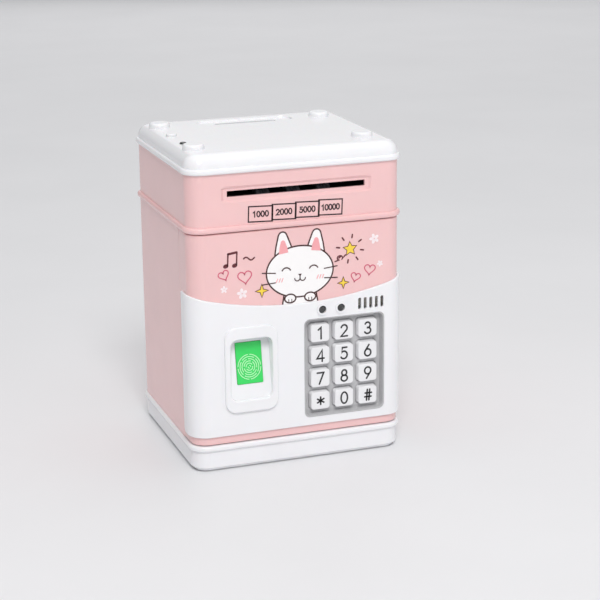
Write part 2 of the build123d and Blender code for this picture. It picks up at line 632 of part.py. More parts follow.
def outer_rim(skin):
    """The fascia's outer edges along its top, foot and rear ends."""
    def outside(edge):
        middle = edge.position_at(0.5)
        return abs(middle.X) > WIDTH / 2 - 0.02 or middle.Y < FRONT + 0.02
    rim = []
    for edge in skin.edges():
        middle = edge.position_at(0.5)
        upright = abs(edge.tangent_at(0.5).Z) > 0.999
        corner = not outside(edge) and abs(middle.X) > WIDTH / 2 - BEAD_RADIUS
        on_corner = corner and abs(sqrt((abs(middle.X) - WIDTH / 2 + BEAD_RADIUS) ** 2
                                        + (middle.Y - FRONT - BEAD_RADIUS) ** 2)
                                   - BEAD_RADIUS) < 0.02
        if (outside(edge) or on_corner) and not (upright and middle.Y < FASCIA_REAR - 0.1):
            rim.append(edge)
    return rim


def ramp_plane(offset=0.0):
    """Plane on the finger ramp; its normal points out of the recess."""
    rise = FINGER_OPEN_H
    run = RAMP_DEEP - RAMP_SHALLOW
    length = sqrt(rise ** 2 + run ** 2)
    normal = (0, -rise / length, run / length)
    middle = BEZEL_FRONT + (RAMP_DEEP + RAMP_SHALLOW) / 2
    origin = (FINGER_X, middle + normal[1] * offset, FINGER_Z + normal[2] * offset)
    return Plane(origin=origin, x_dir=(1, 0, 0), z_dir=normal)


def ramp_slab(wide, high, corner, front, back, raised=0.0):
    """A rounded plate lying along the finger ramp, from offset back to front."""
    plate = Pos(0, raised) * RectangleRounded(wide, high, corner)
    return extrude(ramp_plane(back) * plate, front - back)


def finger_bezel():
    """White raised frame, finger recess and its sloped floor with a lens window."""
    frame = prism(FINGER_X, FINGER_Z, FINGER_W, FINGER_H, 6.5, BEZEL_FRONT, FRONT)
    frame = fillet(frame.faces().sort_by(Axis.Y)[0].edges(), 0.8)
    outer = prism(FINGER_X, FINGER_Z, FINGER_OPEN_W + 3, FINGER_OPEN_H + 3, 5.3, FRONT - 0.5, -46.5)
    inner = prism(FINGER_X, FINGER_Z, FINGER_OPEN_W, FINGER_OPEN_H, 4.2, -70, -40)
    bezel = frame + outer - inner
    mouth = bezel.faces().sort_by(Axis.Y)[0].inner_wires()[0]
    bezel = fillet(mouth.edges(), 0.8)
    floor = ramp_slab(FINGER_OPEN_W + 1, FINGER_OPEN_H + 6, 2, 0, -1.6)
    floor = floor & prism(FINGER_X, FINGER_Z, FINGER_OPEN_W + 1, FINGER_OPEN_H + 1, 4.5, -70, -46.5)
    bezel += floor
    return bezel - ramp_slab(LENS_W + 0.5, LENS_H + 0.5, 0.7, 3, -3, LENS_RAISE)


def finger_lens():
    """Green lit window plate, pressed along the ramp's normal."""
    face = ramp_slab(LENS_W, LENS_H, 0.5, 0.25, -1.9, LENS_RAISE)
    return face + ramp_slab(LENS_W + 2.6, LENS_H + 2.6, 1.2, -1.85, -2.6, LENS_RAISE)


def finger_board():
    """Lamp board behind the lens with four lamps."""
    y0 = -45.8
    board = block(FINGER_X - 10.5, FINGER_X + 10.5, y0, y0 + 1.4, FINGER_Z - 16, FINGER_Z + 17)
    for x in (-5.0, 5.0):
        for z in (LENS_RAISE - 8.5, LENS_RAISE + 8.5):
            lamp = rod_y(FINGER_X + x, FINGER_Z + z, 1.5, y0 - 1.6, y0 + 0.1)
            board += fillet(lamp.faces().sort_by(Axis.Y)[0].edges(), 0.9)
    for side in (-1, 1):
        x0, x1 = sorted((FINGER_X + side * 9, FINGER_X + side * 11.5))
        board += block(x0, x1, y0 + 1.3, PLATE_FRONT, FINGER_Z - 4, FINGER_Z + 4)
    return board


def keypad_bezel():
    """Silver-grey keypad tray: sloped sides, flat floor with twelve key holes."""
    face, back = FRONT + 0.15, RECESS_FLOOR + TRAY_FLOOR
    rim = FRONT + FASCIA_SKIN + 0.05
    tray = prism(KEYPAD_X, KEYPAD_Z, KEYPAD_W - 0.2, KEYPAD_H - 0.2, 3.5, face, back)
    tray += prism(KEYPAD_X, KEYPAD_Z, KEYPAD_W + 2.6, KEYPAD_H + 2.6, 4.0, rim, rim + 1.4)
    sketch = Plane(origin=(KEYPAD_X, face, KEYPAD_Z), x_dir=(1, 0, 0), z_dir=(0, 1, 0))
    hollow = sketch * RectangleRounded(KEYPAD_W - 1.4, KEYPAD_H - 1.4, 3.2)
    tray -= extrude(hollow, RECESS_FLOOR - face, taper=10)
    spread = 2 * KEY_STAND * tan(radians(KEY_DRAFT)) + 0.4
    for x, z, name in key_places():
        tray -= prism(x, z, KEY_W + spread, KEY_H + spread, 2.4, -70, -50)
    return tray


def key_places():
    """Centre and name of each key, row by row from the top."""
    places = []
    for row, names in enumerate(KEY_ROWS):
        for column, name in enumerate(names):
            x = KEYPAD_X + (column - 1) * KEY_PITCH_X
            z = KEYPAD_Z + (1.5 - row) * KEY_PITCH_Z
            places.append((x, z, name))
    return places


def key(x, z):
    """One key: soft-edged cap and a wider flange that keeps it in the tray."""
    spread = 2 * KEY_STAND * tan(radians(KEY_DRAFT))
    root = Plane(origin=(x, FLANGE_FRONT + 0.1, z), x_dir=(1, 0, 0), z_dir=(0, -1, 0))
    cap = extrude(root * RectangleRounded(KEY_W + spread, KEY_H + spread, 2.2), KEY_STAND,
                  taper=KEY_DRAFT)
    cap = fillet(cap.faces().sort_by(Axis.Y)[0].edges(), 0.5)
    return cap + prism(x, z, KEY_W + 2.6, KEY_H + 2.6, 2.6, FLANGE_FRONT, FLANGE_FRONT + 0.8)


def key_mat():
    """Rubber contact mat behind the keys, with a low plunger under each key."""
    mat = prism(KEYPAD_X, KEYPAD_Z, KEYPAD_W - 1, KEYPAD_H - 1, 3, MAT_FRONT, MAT_FRONT + 0.8)
    for x, z, name in key_places():
        mat += rod_y(x, z, 2.6, MAT_FRONT - 0.3, MAT_FRONT + 0.1)
    return mat


def keypad_board():
    """Contact board behind the mat."""
    front = MAT_FRONT + 0.85
    board = prism(KEYPAD_X, KEYPAD_Z, KEYPAD_W, KEYPAD_H, 1.5, front, front + 1.6)
    for x, z in ((8.0, 30.0), (46.5, 30.0), (8.0, 81.5), (46.5, 81.5)):
        board -= rod_y(x, z, 1.2, -60, -40)
    return board


def control_board():
    """Main circuit board with its processor, memory, connectors and crystal."""
    board = block(6, 50, -44.6, -43.0, 30, 82)
    board += block(18, 32, -43.1, -41.2, 52, 66)
    board += block(36, 44, -43.1, -41.4, 56, 61)
    board += block(10, 24, -43.1, -38.9, 32.5, 38)
    board += block(30, 44, -43.1, -38.9, 32.5, 38)
    board += block(36, 47, -43.1, -40.0, 70, 74.5)
    for x in (12.0, 18.5):
        board += rod_y(x, 74.0, 2.5, -43.1, -39.2)
    for x in (9.0, 47.0):
        board += rod_y(x, 79.5, 1.8, MAT_FRONT + 2.5, -44.5)
        board += rod_y(x, 46.0, 1.8, MAT_FRONT + 2.5, -44.5)
    return board


def status_windows():
    """Two dark domed windows in the fascia's raised rings."""
    domes = []
    for x in LAMP_X:
        dome = rod_y(x, LAMP_Z, 2.22, FRONT - 0.1, DOOR_INNER - 1)
        domes.append(fillet(dome.faces().sort_by(Axis.Y)[0].edges(), 0.7))
    return Compound(children=domes)


def speaker():
    """Small round speaker behind the slots: rim, basket, magnet."""
    x, z = VENT_MID, VENT_Z + 5.6
    y0 = DOOR_INNER + 0.05
    body = rod_y(x, z, 9.2, y0, y0 + 1.2)
    cone = Plane(origin=(x, y0 + 1.1, z), x_dir=(1, 0, 0), z_dir=(0, 1, 0))
    body += extrude(cone * Circle(8.2), 2.2, taper=40)
    body += rod_y(x, z, 5.6, y0 + 3.2, y0 + 6.6)
    dish = Plane(origin=(x, y0, z), x_dir=(1, 0, 0), z_dir=(0, 1, 0))
    return body - extrude(dish * Circle(7.6), 1.8, taper=45)


def door_back():
    """Inner closing plate of the door, with ribs and countersunk screw holes."""
    plate = front_of(slab(LOWER_INSET + WALL + 0.3, DOOR_LOW + WALL + 0.3, DOOR_HIGH - WALL - 0.3),
                     SEAM_Y - 0.4)
    plate = behind(plate, PLATE_FRONT)
    plate -= block(HINGE_X - HINGE_R - 0.4, 70, -60, 0, 0, 200)
    for x, z in DOOR_POSTS:
        plate -= rod_y(x, z, 1.6, -60, 0)
        plate -= rod_y(x, z, 2.9, SEAM_Y - 1.3, 0)
    for index in range(6):
        z = 40.0 + 4.0 * index
        plate -= prism(-10, z, 26, 1.8, 0.85, -60, 0)
    return plate


def door_screws():
    """Six screws that hold the door's back plate on its posts."""
    screws = []
    for x, z in DOOR_POSTS:
        screw = rod_y(x, z, 2.6, SEAM_Y - 1.3, SEAM_Y - 0.5)
        screw += rod_y(x, z, 1.1, -48.0, SEAM_Y - 1.2)
        screws.append(screw - block(x - 1.8, x + 1.8, SEAM_Y - 0.9, 0, z - 0.3, z + 0.3))
    return Compound(children=screws)


# ---------------------------------------------------------------- door lock
def rack_tooth(z):
    """One rack tooth on the bolt's rear face, centred at z."""
    tip, foot = 0.8 * FEED_MODULE, 1.15 * FEED_MODULE
    lean = tan(radians(20))
    half = RACK_STEP / 4 - 0.05
    sketch = Plane(origin=(BOLT_X - 3, 0, 0), x_dir=(0, 1, 0), z_dir=(1, 0, 0))
    y = LOCK_PITCH_Y
    shape = Polyline((y - foot - 0.3, z - half - foot * lean), (y - foot, z - half - foot * lean),
                     (y + tip, z - half + tip * lean), (y + tip, z + half - tip * lean),
                     (y - foot, z + half + foot * lean), (y - foot - 0.3, z + half + foot * lean),
                     close=True)
    return extrude(sketch * make_face(shape), 6)


def lock_bolt():
    """Flat upright bolt with a rack on its back; it rises into the deck to lock."""
    back = LOCK_PITCH_Y - 1.15 * FEED_MODULE
    bolt = block(BOLT_X - 3, BOLT_X + 3, BOLT_Y - 1.5, back, BOLT_FOOT, BOLT_TOP)
    top = bolt.edges().group_by(Axis.Z)[-1].filter_by(Axis.X)
    bolt = chamfer(top, 0.8)
    for index in range(-2, 3):
        bolt += rack_tooth(LOCK_Z + (index - 0.5) * RACK_STEP)
    return bolt


def lock_pinion():
    """Small pinion on the lock motor's shaft, in mesh with the bolt's rack."""
    return gear_x(FEED_MODULE, LOCK_TEETH, LOCK_Y, LOCK_Z, BOLT_X - 2.5, BOLT_X + 2.5,
                  1.0, pi)


def lock_motor():
    """Geared motor that drives the lock pinion."""
    return gearmotor(LOCK_Y, LOCK_Z, BOLT_X + 6.2, BOLT_X + 28.0, BOLT_X + 4.6)


def lock_bracket():
    """Bracket on the door's inner face: bolt guides, motor saddle."""
    x0, x1 = BOLT_X - 4.8, BOLT_X + 28.5
    plate = block(x0, x1, DOOR_INNER + 0.05, BOLT_Y - 1.55, 106, 126)
    plate = plate & slab(LOWER_INSET + WALL + 0.1, 100, 130)
    for z in (106.0, 122.5):
        guide = block(x0, BOLT_X + 4.4, BOLT_Y - 1.6, LOCK_PITCH_Y + 1.6, z, z + 3.5)
        guide -= block(BOLT_X - 3.05, BOLT_X + 3.05, BOLT_Y - 1.55, LOCK_PITCH_Y + 0.6, 0, 200)
        plate += guide
    saddle = block(BOLT_X + 5.4, x1, BOLT_Y - 1.6, LOCK_Y + 1, 108.2, 123.8)
    saddle -= block(BOLT_X + 6.15, x1 + 1, LOCK_Y - 5.05, 0, LOCK_Z - 6.05, LOCK_Z + 6.05)
    saddle -= rod_x(LOCK_Y, LOCK_Z, 1.8, BOLT_X, BOLT_X + 8)
    saddle -= block(BOLT_X, BOLT_X + 8, LOCK_Y, 0, LOCK_Z - 1.8, LOCK_Z + 1.8)
    return plate + saddle


# ---------------------------------------------------------------- write every sub-part
def main():
    """Write every sub-part of the bank."""
    write("base_tray", base_tray())
    write("rubber_feet", rubber_feet())
    write("base_screws", base_screws())
    write("battery_box", battery_box())
    write("batteries", batteries())
    write("battery_contacts", battery_contacts())
    write("battery_cover", battery_cover())
    write("cover_screw", cover_screw())
    write("body_shell", body_shell())
    write("deck_plate", deck_plate())
    write("deck_screws", deck_screws())
    write("hinge_pins", hinge_pins())
    write("upper_shell", upper_shell())
    write("lid", lid())
    write("lid_button", lid_button())
    write("button_switch", button_switch())
    write("lid_lamp", lid_lamp())
    write("coin_chute", coin_chute())
    write("note_guide", note_guide())
    write("feed_frame", feed_frame())
    write("feed_motor", feed_motor())
    write("drive_shaft", shaft(DRIVE_Z, -PLATE_X - 2.5, GEAR_X1 + 1))
    write("drive_wheels", wheels(DRIVE_Z))
    write("roller_gear", roller_gear())
    write("idler_shaft", shaft(IDLER_Z, -PLATE_X - 2.5, PLATE_X + 2.5))
    write("idler_wheels", wheels(IDLER_Z))
    write("motor_pinion", motor_pinion())
    write("feed_board", feed_board())
    write("door_panel", door_panel())
    write("door_fascia", door_fascia())
    write("finger_bezel", finger_bezel())
    write("finger_lens", finger_lens())
    write("finger_board", finger_board())
    write("keypad_bezel", keypad_bezel())
    for x, z, name in key_places():
        write("key_" + name, key(x, z))
    write("key_mat", key_mat())
    write("keypad_board", keypad_board())
    write("control_board", control_board())
    write("status_windows", status_windows())
    write("speaker", speaker())
    write("door_back", door_back())
    write("door_screws", door_screws())
    write("lock_bolt", lock_bolt())
    write("lock_pinion", lock_pinion())
    write("lock_motor", lock_motor())
    write("lock_bracket", lock_bracket())


main()
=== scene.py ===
import json
import logging
import math
from dataclasses import dataclass, field
from enum import Enum
from typing import Callable, Iterable, Sequence

import bmesh
import bpy
from mathutils import Matrix, Vector
from mathutils.geometry import tessellate_polygon


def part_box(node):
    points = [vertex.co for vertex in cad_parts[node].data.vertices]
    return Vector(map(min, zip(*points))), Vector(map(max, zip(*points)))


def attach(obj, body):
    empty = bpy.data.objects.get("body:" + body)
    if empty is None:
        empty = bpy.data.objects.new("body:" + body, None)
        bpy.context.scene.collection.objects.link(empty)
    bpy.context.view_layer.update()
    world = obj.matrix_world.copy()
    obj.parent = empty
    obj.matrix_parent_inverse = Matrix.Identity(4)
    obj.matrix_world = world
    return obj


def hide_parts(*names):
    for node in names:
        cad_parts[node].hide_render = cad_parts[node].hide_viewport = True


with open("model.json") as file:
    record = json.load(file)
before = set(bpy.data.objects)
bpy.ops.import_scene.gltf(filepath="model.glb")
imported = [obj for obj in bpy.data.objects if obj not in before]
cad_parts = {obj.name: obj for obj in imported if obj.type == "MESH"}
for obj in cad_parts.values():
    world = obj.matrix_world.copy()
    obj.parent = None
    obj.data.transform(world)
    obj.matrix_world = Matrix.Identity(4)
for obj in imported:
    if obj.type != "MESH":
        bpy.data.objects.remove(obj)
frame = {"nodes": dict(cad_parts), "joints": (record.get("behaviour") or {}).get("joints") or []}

log = logging.getLogger("toy_safe")
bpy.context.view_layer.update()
MM = 0.001
CROSS_REACH = (1.0, 0.96, 0.5, 0.36, 0.5, 0.96)
Point = tuple[float, float]
Colour = tuple[float, float, float, float]
Socket = bpy.types.NodeSocket
Tree = bpy.types.NodeTree
Ring = list[bmesh.types.BMVert]


def tint(red: int, green: int, blue: int) -> Colour:
    """Turn a paint-chart colour of 0 to 255 into the linear colour that shaders use.

    Args:
        red: Red, 0 to 255.
        green: Green, 0 to 255.
        blue: Blue, 0 to 255.

    Returns:
        The linear colour with an alpha of one.
    """
    def linear(value: int) -> float:
        """Undo the display curve for one channel."""
        part = value / 255
        return part / 12.92 if part <= 0.04045 else ((part + 0.055) / 1.055) ** 2.4
    return (linear(red), linear(green), linear(blue), 1.0)


# ------------------------------------------------------------------------ finishes
class Wiring:
    """Adds and joins the nodes of one material around a Principled shader."""

    def __init__(self, name: str) -> None:
        """Start a material with its shader and an object-space coordinate.

        Args:
            name: The material's name.
        """
        self.material = bpy.data.materials.new(name)
        self.material.use_nodes = True
        self.nodes = self.material.node_tree.nodes
        self.links = self.material.node_tree.links
        self.shader = next(n for n in self.nodes if n.type == "BSDF_PRINCIPLED")
        self.place = self.nodes.new("ShaderNodeTexCoord").outputs["Object"]

    def set(self, **values: object) -> None:
        """Set shader sockets by name, with underscores for spaces."""
        for name, value in values.items():
            self.shader.inputs[name.replace("_", " ")].default_value = value

    def feed(self, socket: str, source: bpy.types.NodeSocket) -> None:
        """Join a source to one of the shader's sockets."""
        self.links.new(source, self.shader.inputs[socket])

    def stretched(self, scale: Sequence[float], turn: Sequence[float] = (0, 0, 0)) -> Socket:
        """Object coordinates scaled by axis, for streaks and bands.

        Args:
            scale: How much each axis is stretched.
            turn: Euler angles in radians.

        Returns:
            The coordinate.
        """
        node = self.nodes.new("ShaderNodeMapping")
        node.inputs["Scale"].default_value = scale
        node.inputs["Rotation"].default_value = turn
        self.links.new(self.place, node.inputs["Vector"])
        return node.outputs["Vector"]

    def noise(self, scale: float, detail: float = 2.0, vector: Socket | None = None,
              rough: float = 0.5) -> Socket:
        """A noise value from 0 to 1.

        Args:
            scale: Cycles per metre.
            detail: How many finer layers it has.
            vector: The coordinate it reads, if not the plain one.
            rough: How strong the finer layers are.

        Returns:
            The value.
        """
        node = self.nodes.new("ShaderNodeTexNoise")
        node.inputs["Scale"].default_value = scale
        node.inputs["Detail"].default_value = detail
        node.inputs["Roughness"].default_value = rough
        self.links.new(vector or self.place, node.inputs["Vector"])
        return node.outputs["Fac"]

    def spread(self, source: Socket, low: float, high: float, start: float = 0.0, end: float = 1.0) -> Socket:
        """Map a value from one span onto another.

        Args:
            source: The value.
            low: What the start becomes.
            high: What the end becomes.
            start: Start of the value's span.
            end: End of the value's span.

        Returns:
            The mapped value.
        """
        node = self.nodes.new("ShaderNodeMapRange")
        node.inputs["From Min"].default_value = start
        node.inputs["From Max"].default_value = end
        node.inputs["To Min"].default_value = low
        node.inputs["To Max"].default_value = high
        self.links.new(source, node.inputs["Value"])
        return node.outputs["Result"]

    def blend(self, source: Socket, first: Colour, second: Colour,
              low: float = 0.0, high: float = 1.0) -> Socket:
        """A colour that runs from one to another with a value.

        Args:
            source: The value.
            first: The colour at low.
            second: The colour at high.
            low: Where the change starts.
            high: Where it ends.

        Returns:
            The colour.
        """
        node = self.nodes.new("ShaderNodeValToRGB")
        node.color_ramp.elements[0].position = low
        node.color_ramp.elements[1].position = high
        node.color_ramp.elements[0].color = first
        node.color_ramp.elements[1].color = second
        self.links.new(source, node.inputs["Fac"])
        return node.outputs["Color"]

    def bump(self, height: Socket, distance: float, strength: float = 1.0,
             under: Socket | None = None) -> Socket:
        """Raise the surface by a height.

        Args:
            height: The height, 0 to 1.
            distance: What a height of one is in metres.
            strength: How much of it shows.
            under: A coarser normal that it is laid on.

        Returns:
            The new normal.
        """
        node = self.nodes.new("ShaderNodeBump")
        node.inputs["Distance"].default_value = distance
        node.inputs["Strength"].default_value = strength
        self.links.new(height, node.inputs["Height"])
        if under is not None:
            self.links.new(under, node.inputs["Normal"])
        return node.outputs["Normal"]


@dataclass(frozen=True)
class Plastic:
    """Injection-moulded plastic: faint mottling, flow ripple, fine skin and scuffs."""

    name: str
    colour: Colour
    roughness: float = 0.16
    mottle: float = 0.035
    ripple: float = 0.000012
    grain: float = 0.0
    coat: float = 0.25
    glow: float = 0.0

    def material(self) -> bpy.types.Material:
        """Build the finish.

        Returns:
            The new material.
        """
        work = Wiring(self.name)
        dark = tuple(c * (1 - self.mottle) for c in self.colour[:3]) + (1.0,)
        cloud = work.noise(38.0, 3.0)
        work.feed("Base Color", work.blend(cloud, dark, self.colour, 0.3, 0.7))
        scuff = work.noise(900.0, 4.0, work.stretched((1.0, 1.0, 0.25)), 0.65)
        work.feed("Roughness", work.spread(scuff, self.roughness * 0.8, self.roughness * 1.35, 0.3, 0.75))
        wave = work.bump(work.noise(120.0, 1.0), self.ripple)
        if self.grain:
            wave = work.bump(work.noise(5200.0, 2.0), self.grain, under=wave)
        work.feed("Normal", wave)
        work.set(IOR=1.49, Coat_Weight=self.coat, Coat_Roughness=0.06)
        work.set(Subsurface_Weight=self.glow, Subsurface_Scale=0.0015)
        return work.material


@dataclass(frozen=True)
class Rubber:
    """Matt elastomer with a fine mould texture and a dusty bloom."""

    name: str
    colour: Colour
    roughness: float = 0.75

    def material(self) -> bpy.types.Material:
        """Build the finish.

        Returns:
            The new material.
        """
        work = Wiring(self.name)
        bloom = tuple(min(1.0, c * 1.6 + 0.02) for c in self.colour[:3]) + (1.0,)
        work.feed("Base Color", work.blend(work.noise(260.0, 5.0), self.colour, bloom, 0.45, 0.8))
        work.feed("Roughness", work.spread(work.noise(700.0, 3.0), self.roughness * 0.85, self.roughness))
        work.feed("Normal", work.bump(work.noise(4200.0, 3.0), 0.00002))
        work.set(Specular_IOR_Level=0.35)
        return work.material


@dataclass(frozen=True)
class Metal:
    """Plated or drawn metal with fine directional lines and small stains."""

    name: str
    colour: Colour
    roughness: float = 0.3
    lines: tuple[float, float, float] = (1.0, 1.0, 24.0)

    def material(self) -> bpy.types.Material:
        """Build the finish.

        Returns:
            The new material.
        """
        work = Wiring(self.name)
        dark = tuple(c * 0.72 for c in self.colour[:3]) + (1.0,)
        work.feed("Base Color", work.blend(work.noise(330.0, 4.0), dark, self.colour, 0.3, 0.6))
        streak = work.noise(900.0, 3.0, work.stretched(self.lines))
        work.feed("Roughness", work.spread(streak, self.roughness * 0.7, self.roughness * 1.4, 0.3, 0.7))
        work.feed("Normal", work.bump(streak, 0.000004))
        work.set(Metallic=1.0)
        return work.material


@dataclass(frozen=True)
class Ink:
    """Pad-printed ink: slightly uneven cover and a soft sheen."""

    name: str
    colour: Colour
    roughness: float = 0.42
    patchy: float = 0.10

    def material(self) -> bpy.types.Material:
        """Build the finish.

        Returns:
            The new material.
        """
        work = Wiring(self.name)
        thin = tuple(c + (1 - c) * self.patchy for c in self.colour[:3]) + (1.0,)
        work.feed("Base Color", work.blend(work.noise(1500.0, 3.0), self.colour, thin, 0.5, 0.85))
        sheen = work.noise(2400.0, 2.0)
        work.feed("Roughness", work.spread(sheen, self.roughness * 0.85, self.roughness * 1.1))
        work.feed("Normal", work.bump(work.noise(3000.0, 2.0), 0.000008))
        return work.material


@dataclass(frozen=True)
class LitPlastic:
    """Coloured window plastic with light behind it, brighter near the lamps."""

    name: str
    edge: Colour
    middle: Colour
    strength: float

    def material(self) -> bpy.types.Material:
        """Build the finish.

        Returns:
            The new material.
        """
        work = Wiring(self.name)
        cloud = work.noise(70.0, 2.0)
        colour = work.blend(cloud, self.edge, self.middle, 0.32, 0.68)
        work.feed("Base Color", colour)
        work.feed("Emission Color", colour)
        work.feed("Roughness", work.spread(work.noise(800.0, 3.0), 0.18, 0.30))
        work.feed("Normal", work.bump(work.noise(300.0, 1.0), 0.000008))
        work.set(Emission_Strength=self.strength, Specular_IOR_Level=0.12)
        work.set(Coat_Weight=0.03, Coat_Roughness=0.05)
        return work.material


@dataclass(frozen=True)
class Smoked:
    """Dark window plastic with a faint hint of the lamp behind it."""

    name: str
    colour: Colour

    def material(self) -> bpy.types.Material:
        """Build the finish.

        Returns:
            The new material.
        """
        work = Wiring(self.name)
        glimmer = tuple(min(1.0, c * 4 + 0.01) for c in self.colour[:3]) + (1.0,)
        work.feed("Base Color", work.blend(work.noise(500.0, 2.0), self.colour, glimmer, 0.45, 0.8))
        work.feed("Roughness", work.spread(work.noise(900.0, 3.0), 0.06, 0.14))
        work.set(Coat_Weight=0.6, Coat_Roughness=0.03, IOR=1.55)
        return work.material


@dataclass(frozen=True)
class CircuitBoard:
    """Solder-mask green with copper runs showing through as raised lines."""

    name: str
    mask: Colour
    trace: Colour

    def material(self) -> bpy.types.Material:
        """Build the finish.

        Returns:
            The new material.
        """
        work = Wiring(self.name)
        weave = work.nodes.new("ShaderNodeTexBrick")
        weave.inputs["Scale"].default_value = 210.0
        weave.inputs["Color1"].default_value = (0.0, 0.0, 0.0, 1.0)
        weave.inputs["Color2"].default_value = (0.25, 0.25, 0.25, 1.0)
        weave.inputs["Mortar"].default_value = (1.0, 1.0, 1.0, 1.0)
        weave.inputs["Mortar Size"].default_value = 0.035
        turned = work.stretched((1.0, 1.0, 1.0), (math.radians(90), 0.0, 0.0))
        work.links.new(turned, weave.inputs["Vector"])
        runs = work.nodes.new("ShaderNodeRGBToBW")
        work.links.new(weave.outputs["Color"], runs.inputs["Color"])
        work.feed("Base Color", work.blend(runs.outputs["Val"], self.mask, self.trace, 0.3, 0.9))
        work.feed("Roughness", work.spread(work.noise(600.0, 3.0), 0.25, 0.4))
        work.feed("Normal", work.bump(runs.outputs["Val"], 0.00003))
        work.set(Coat_Weight=0.3)
        return work.material


@dataclass(frozen=True)
class CellWrap:
    """Plain shrink wrap of a dry cell: dark sleeve with a bright end band."""

    name: str
    sleeve: Colour
    band: Colour

    def material(self) -> bpy.types.Material:
        """Build the finish.

        Returns:
            The new material.
        """
        work = Wiring(self.name)
        split = work.nodes.new("ShaderNodeSeparateXYZ")
        work.links.new(work.place, split.inputs["Vector"])
        along = work.spread(split.outputs["X"], 0.0, 1.0, -0.0255, 0.0255)
        work.feed("Base Color", work.blend(along, self.band, self.sleeve, 0.20, 0.205))
        work.feed("Roughness", work.spread(work.noise(500.0, 4.0), 0.2, 0.38))
        work.feed("Normal", work.bump(work.noise(240.0, 2.0), 0.00002))
        return work.material


@dataclass(frozen=True)
class Sweep:
    """Studio floor: pale, slightly uneven, softly glossy."""

    name: str
    colour: Colour

    def material(self) -> bpy.types.Material:
        """Build the finish.

        Returns:
            The new material.
        """
        work = Wiring(self.name)
        dark = tuple(c * 0.97 for c in self.colour[:3]) + (1.0,)
        work.feed("Base Color", work.blend(work.noise(6.0, 3.0), dark, self.colour, 0.3, 0.7))
        work.feed("Roughness", work.spread(work.noise(60.0, 3.0), 0.5, 0.62))
        return work.material


class Finish(Enum):
    """Every finish that the object's pieces take."""

    PINK = Plastic("pink_gloss", tint(245, 201, 201), 0.17, glow=0.05)
    WHITE = Plastic("white_gloss", tint(244, 244, 247), 0.16, 0.02, glow=0.04)
    GREY = Plastic("silver_grey_tray", tint(192, 192, 194), 0.30, 0.05, grain=0.000006, coat=0.1)
    KEY = Plastic("key_white", tint(240, 240, 242), 0.22, 0.03)
    BLACK = Plastic("black_matt", tint(20, 20, 22), 0.5, 0.1, grain=0.00001, coat=0.0)
    ACETAL = Plastic("natural_acetal", tint(232, 228, 214), 0.38, 0.05, coat=0.0, glow=0.1)
    TYRE = Rubber("roller_rubber", tint(96, 98, 104))
    FOOT = Rubber("foot_rubber", tint(70, 70, 72))
    MAT = Rubber("mat_rubber", tint(184, 184, 187), 0.6)
    STEEL = Metal("zinc_plate", tint(190, 192, 196), 0.32)
    CAN = Metal("drawn_can", tint(205, 206, 208), 0.26, (24.0, 1.0, 1.0))
    NICKEL = Metal("nickel_spring", tint(214, 210, 200), 0.22)
    CONE = Plastic("speaker_cone", tint(84, 84, 88), 0.6, 0.15, grain=0.00002, coat=0.0)
    BOARD = CircuitBoard("board_green", tint(18, 92, 52), tint(74, 150, 96))
    CELLS = CellWrap("cell_wrap", tint(38, 52, 110), tint(206, 176, 92))
    GREEN = LitPlastic("green_window", tint(0, 134, 24), tint(0, 150, 28), 0.16)
    SMOKED = Smoked("smoked_window", tint(34, 34, 36))
    MAROON = Ink("maroon_ink", tint(96, 28, 38))
    BROWN = Ink("brown_ink", tint(66, 28, 28))
    ROSE = Ink("rose_ink", tint(214, 96, 122))
    BLUSH = Ink("blush_ink", tint(247, 170, 176))
    PETAL = Ink("white_ink", tint(252, 250, 250), patchy=0.0)
    BLOSSOM = Ink("blossom_ink", tint(252, 238, 241), patchy=0.0)
    YELLOW = Ink("yellow_ink", tint(250, 216, 70))
    DIGIT = Ink("digit_ink", tint(30, 29, 32))
    NUMBER = Ink("number_ink", tint(50, 20, 26))
    WHORL = Ink("whorl_ink", tint(190, 244, 195), patchy=0.0)
    FLOOR = Sweep("studio_floor", tint(233, 233, 235))

    def paint(self) -> bpy.types.Material:
        """The one shared material of this finish, made the first time it is asked for."""
        return bpy.data.materials.get(self.value.name) or self.value.material()


# ------------------------------------------------------------------ pieces and faces
def dress(node: str, finish: Finish) -> None:
    """Give a CAD node its finish.

    Args:
        node: Name of the node.
        finish: The finish to wear.
    """
    for place in frame["nodes"][node].material_slots:
        place.material = finish.paint()
    log.info("dressed %s in %s", node, finish.value.name)


def settle(piece: bpy.types.Object, body: str, nodes: Sequence[str] = ()) -> bpy.types.Object:
    """Make a finished piece ride on its body and stand for the nodes it replaces.

    Args:
        piece: The finished piece.
        body: The CAD body that carries it.
        nodes: CAD nodes that the piece replaces.

    Returns:
        The same piece.
    """
    if nodes:
        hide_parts(*nodes)
    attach(piece, body)
    log.info("piece %s rides on %s with %d faces", piece.name, body, len(piece.data.polygons))
    return piece


def piece_from(name: str, mesh: bmesh.types.BMesh, finish: Finish, angle: float = 35.0) -> bpy.types.Object:
    """Turn a bmesh in metres into a shaded object.

    Args:
        name: Name of the piece.
        mesh: The shape, which is freed.
        finish: The finish to wear.
        angle: Edges sharper than this, in degrees, stay sharp.

    Returns:
        The new object, linked to the scene.
    """
    data = bpy.data.meshes.new(name)
    bmesh.ops.recalc_face_normals(mesh, faces=mesh.faces[:])
    mesh.to_mesh(data)
    mesh.free()
    data.shade_smooth()
    data.set_sharp_from_angle(angle=math.radians(angle))
    data.materials.append(finish.paint())
    piece = bpy.data.objects.new(name, data)
    bpy.context.scene.collection.objects.link(piece)
    return piece


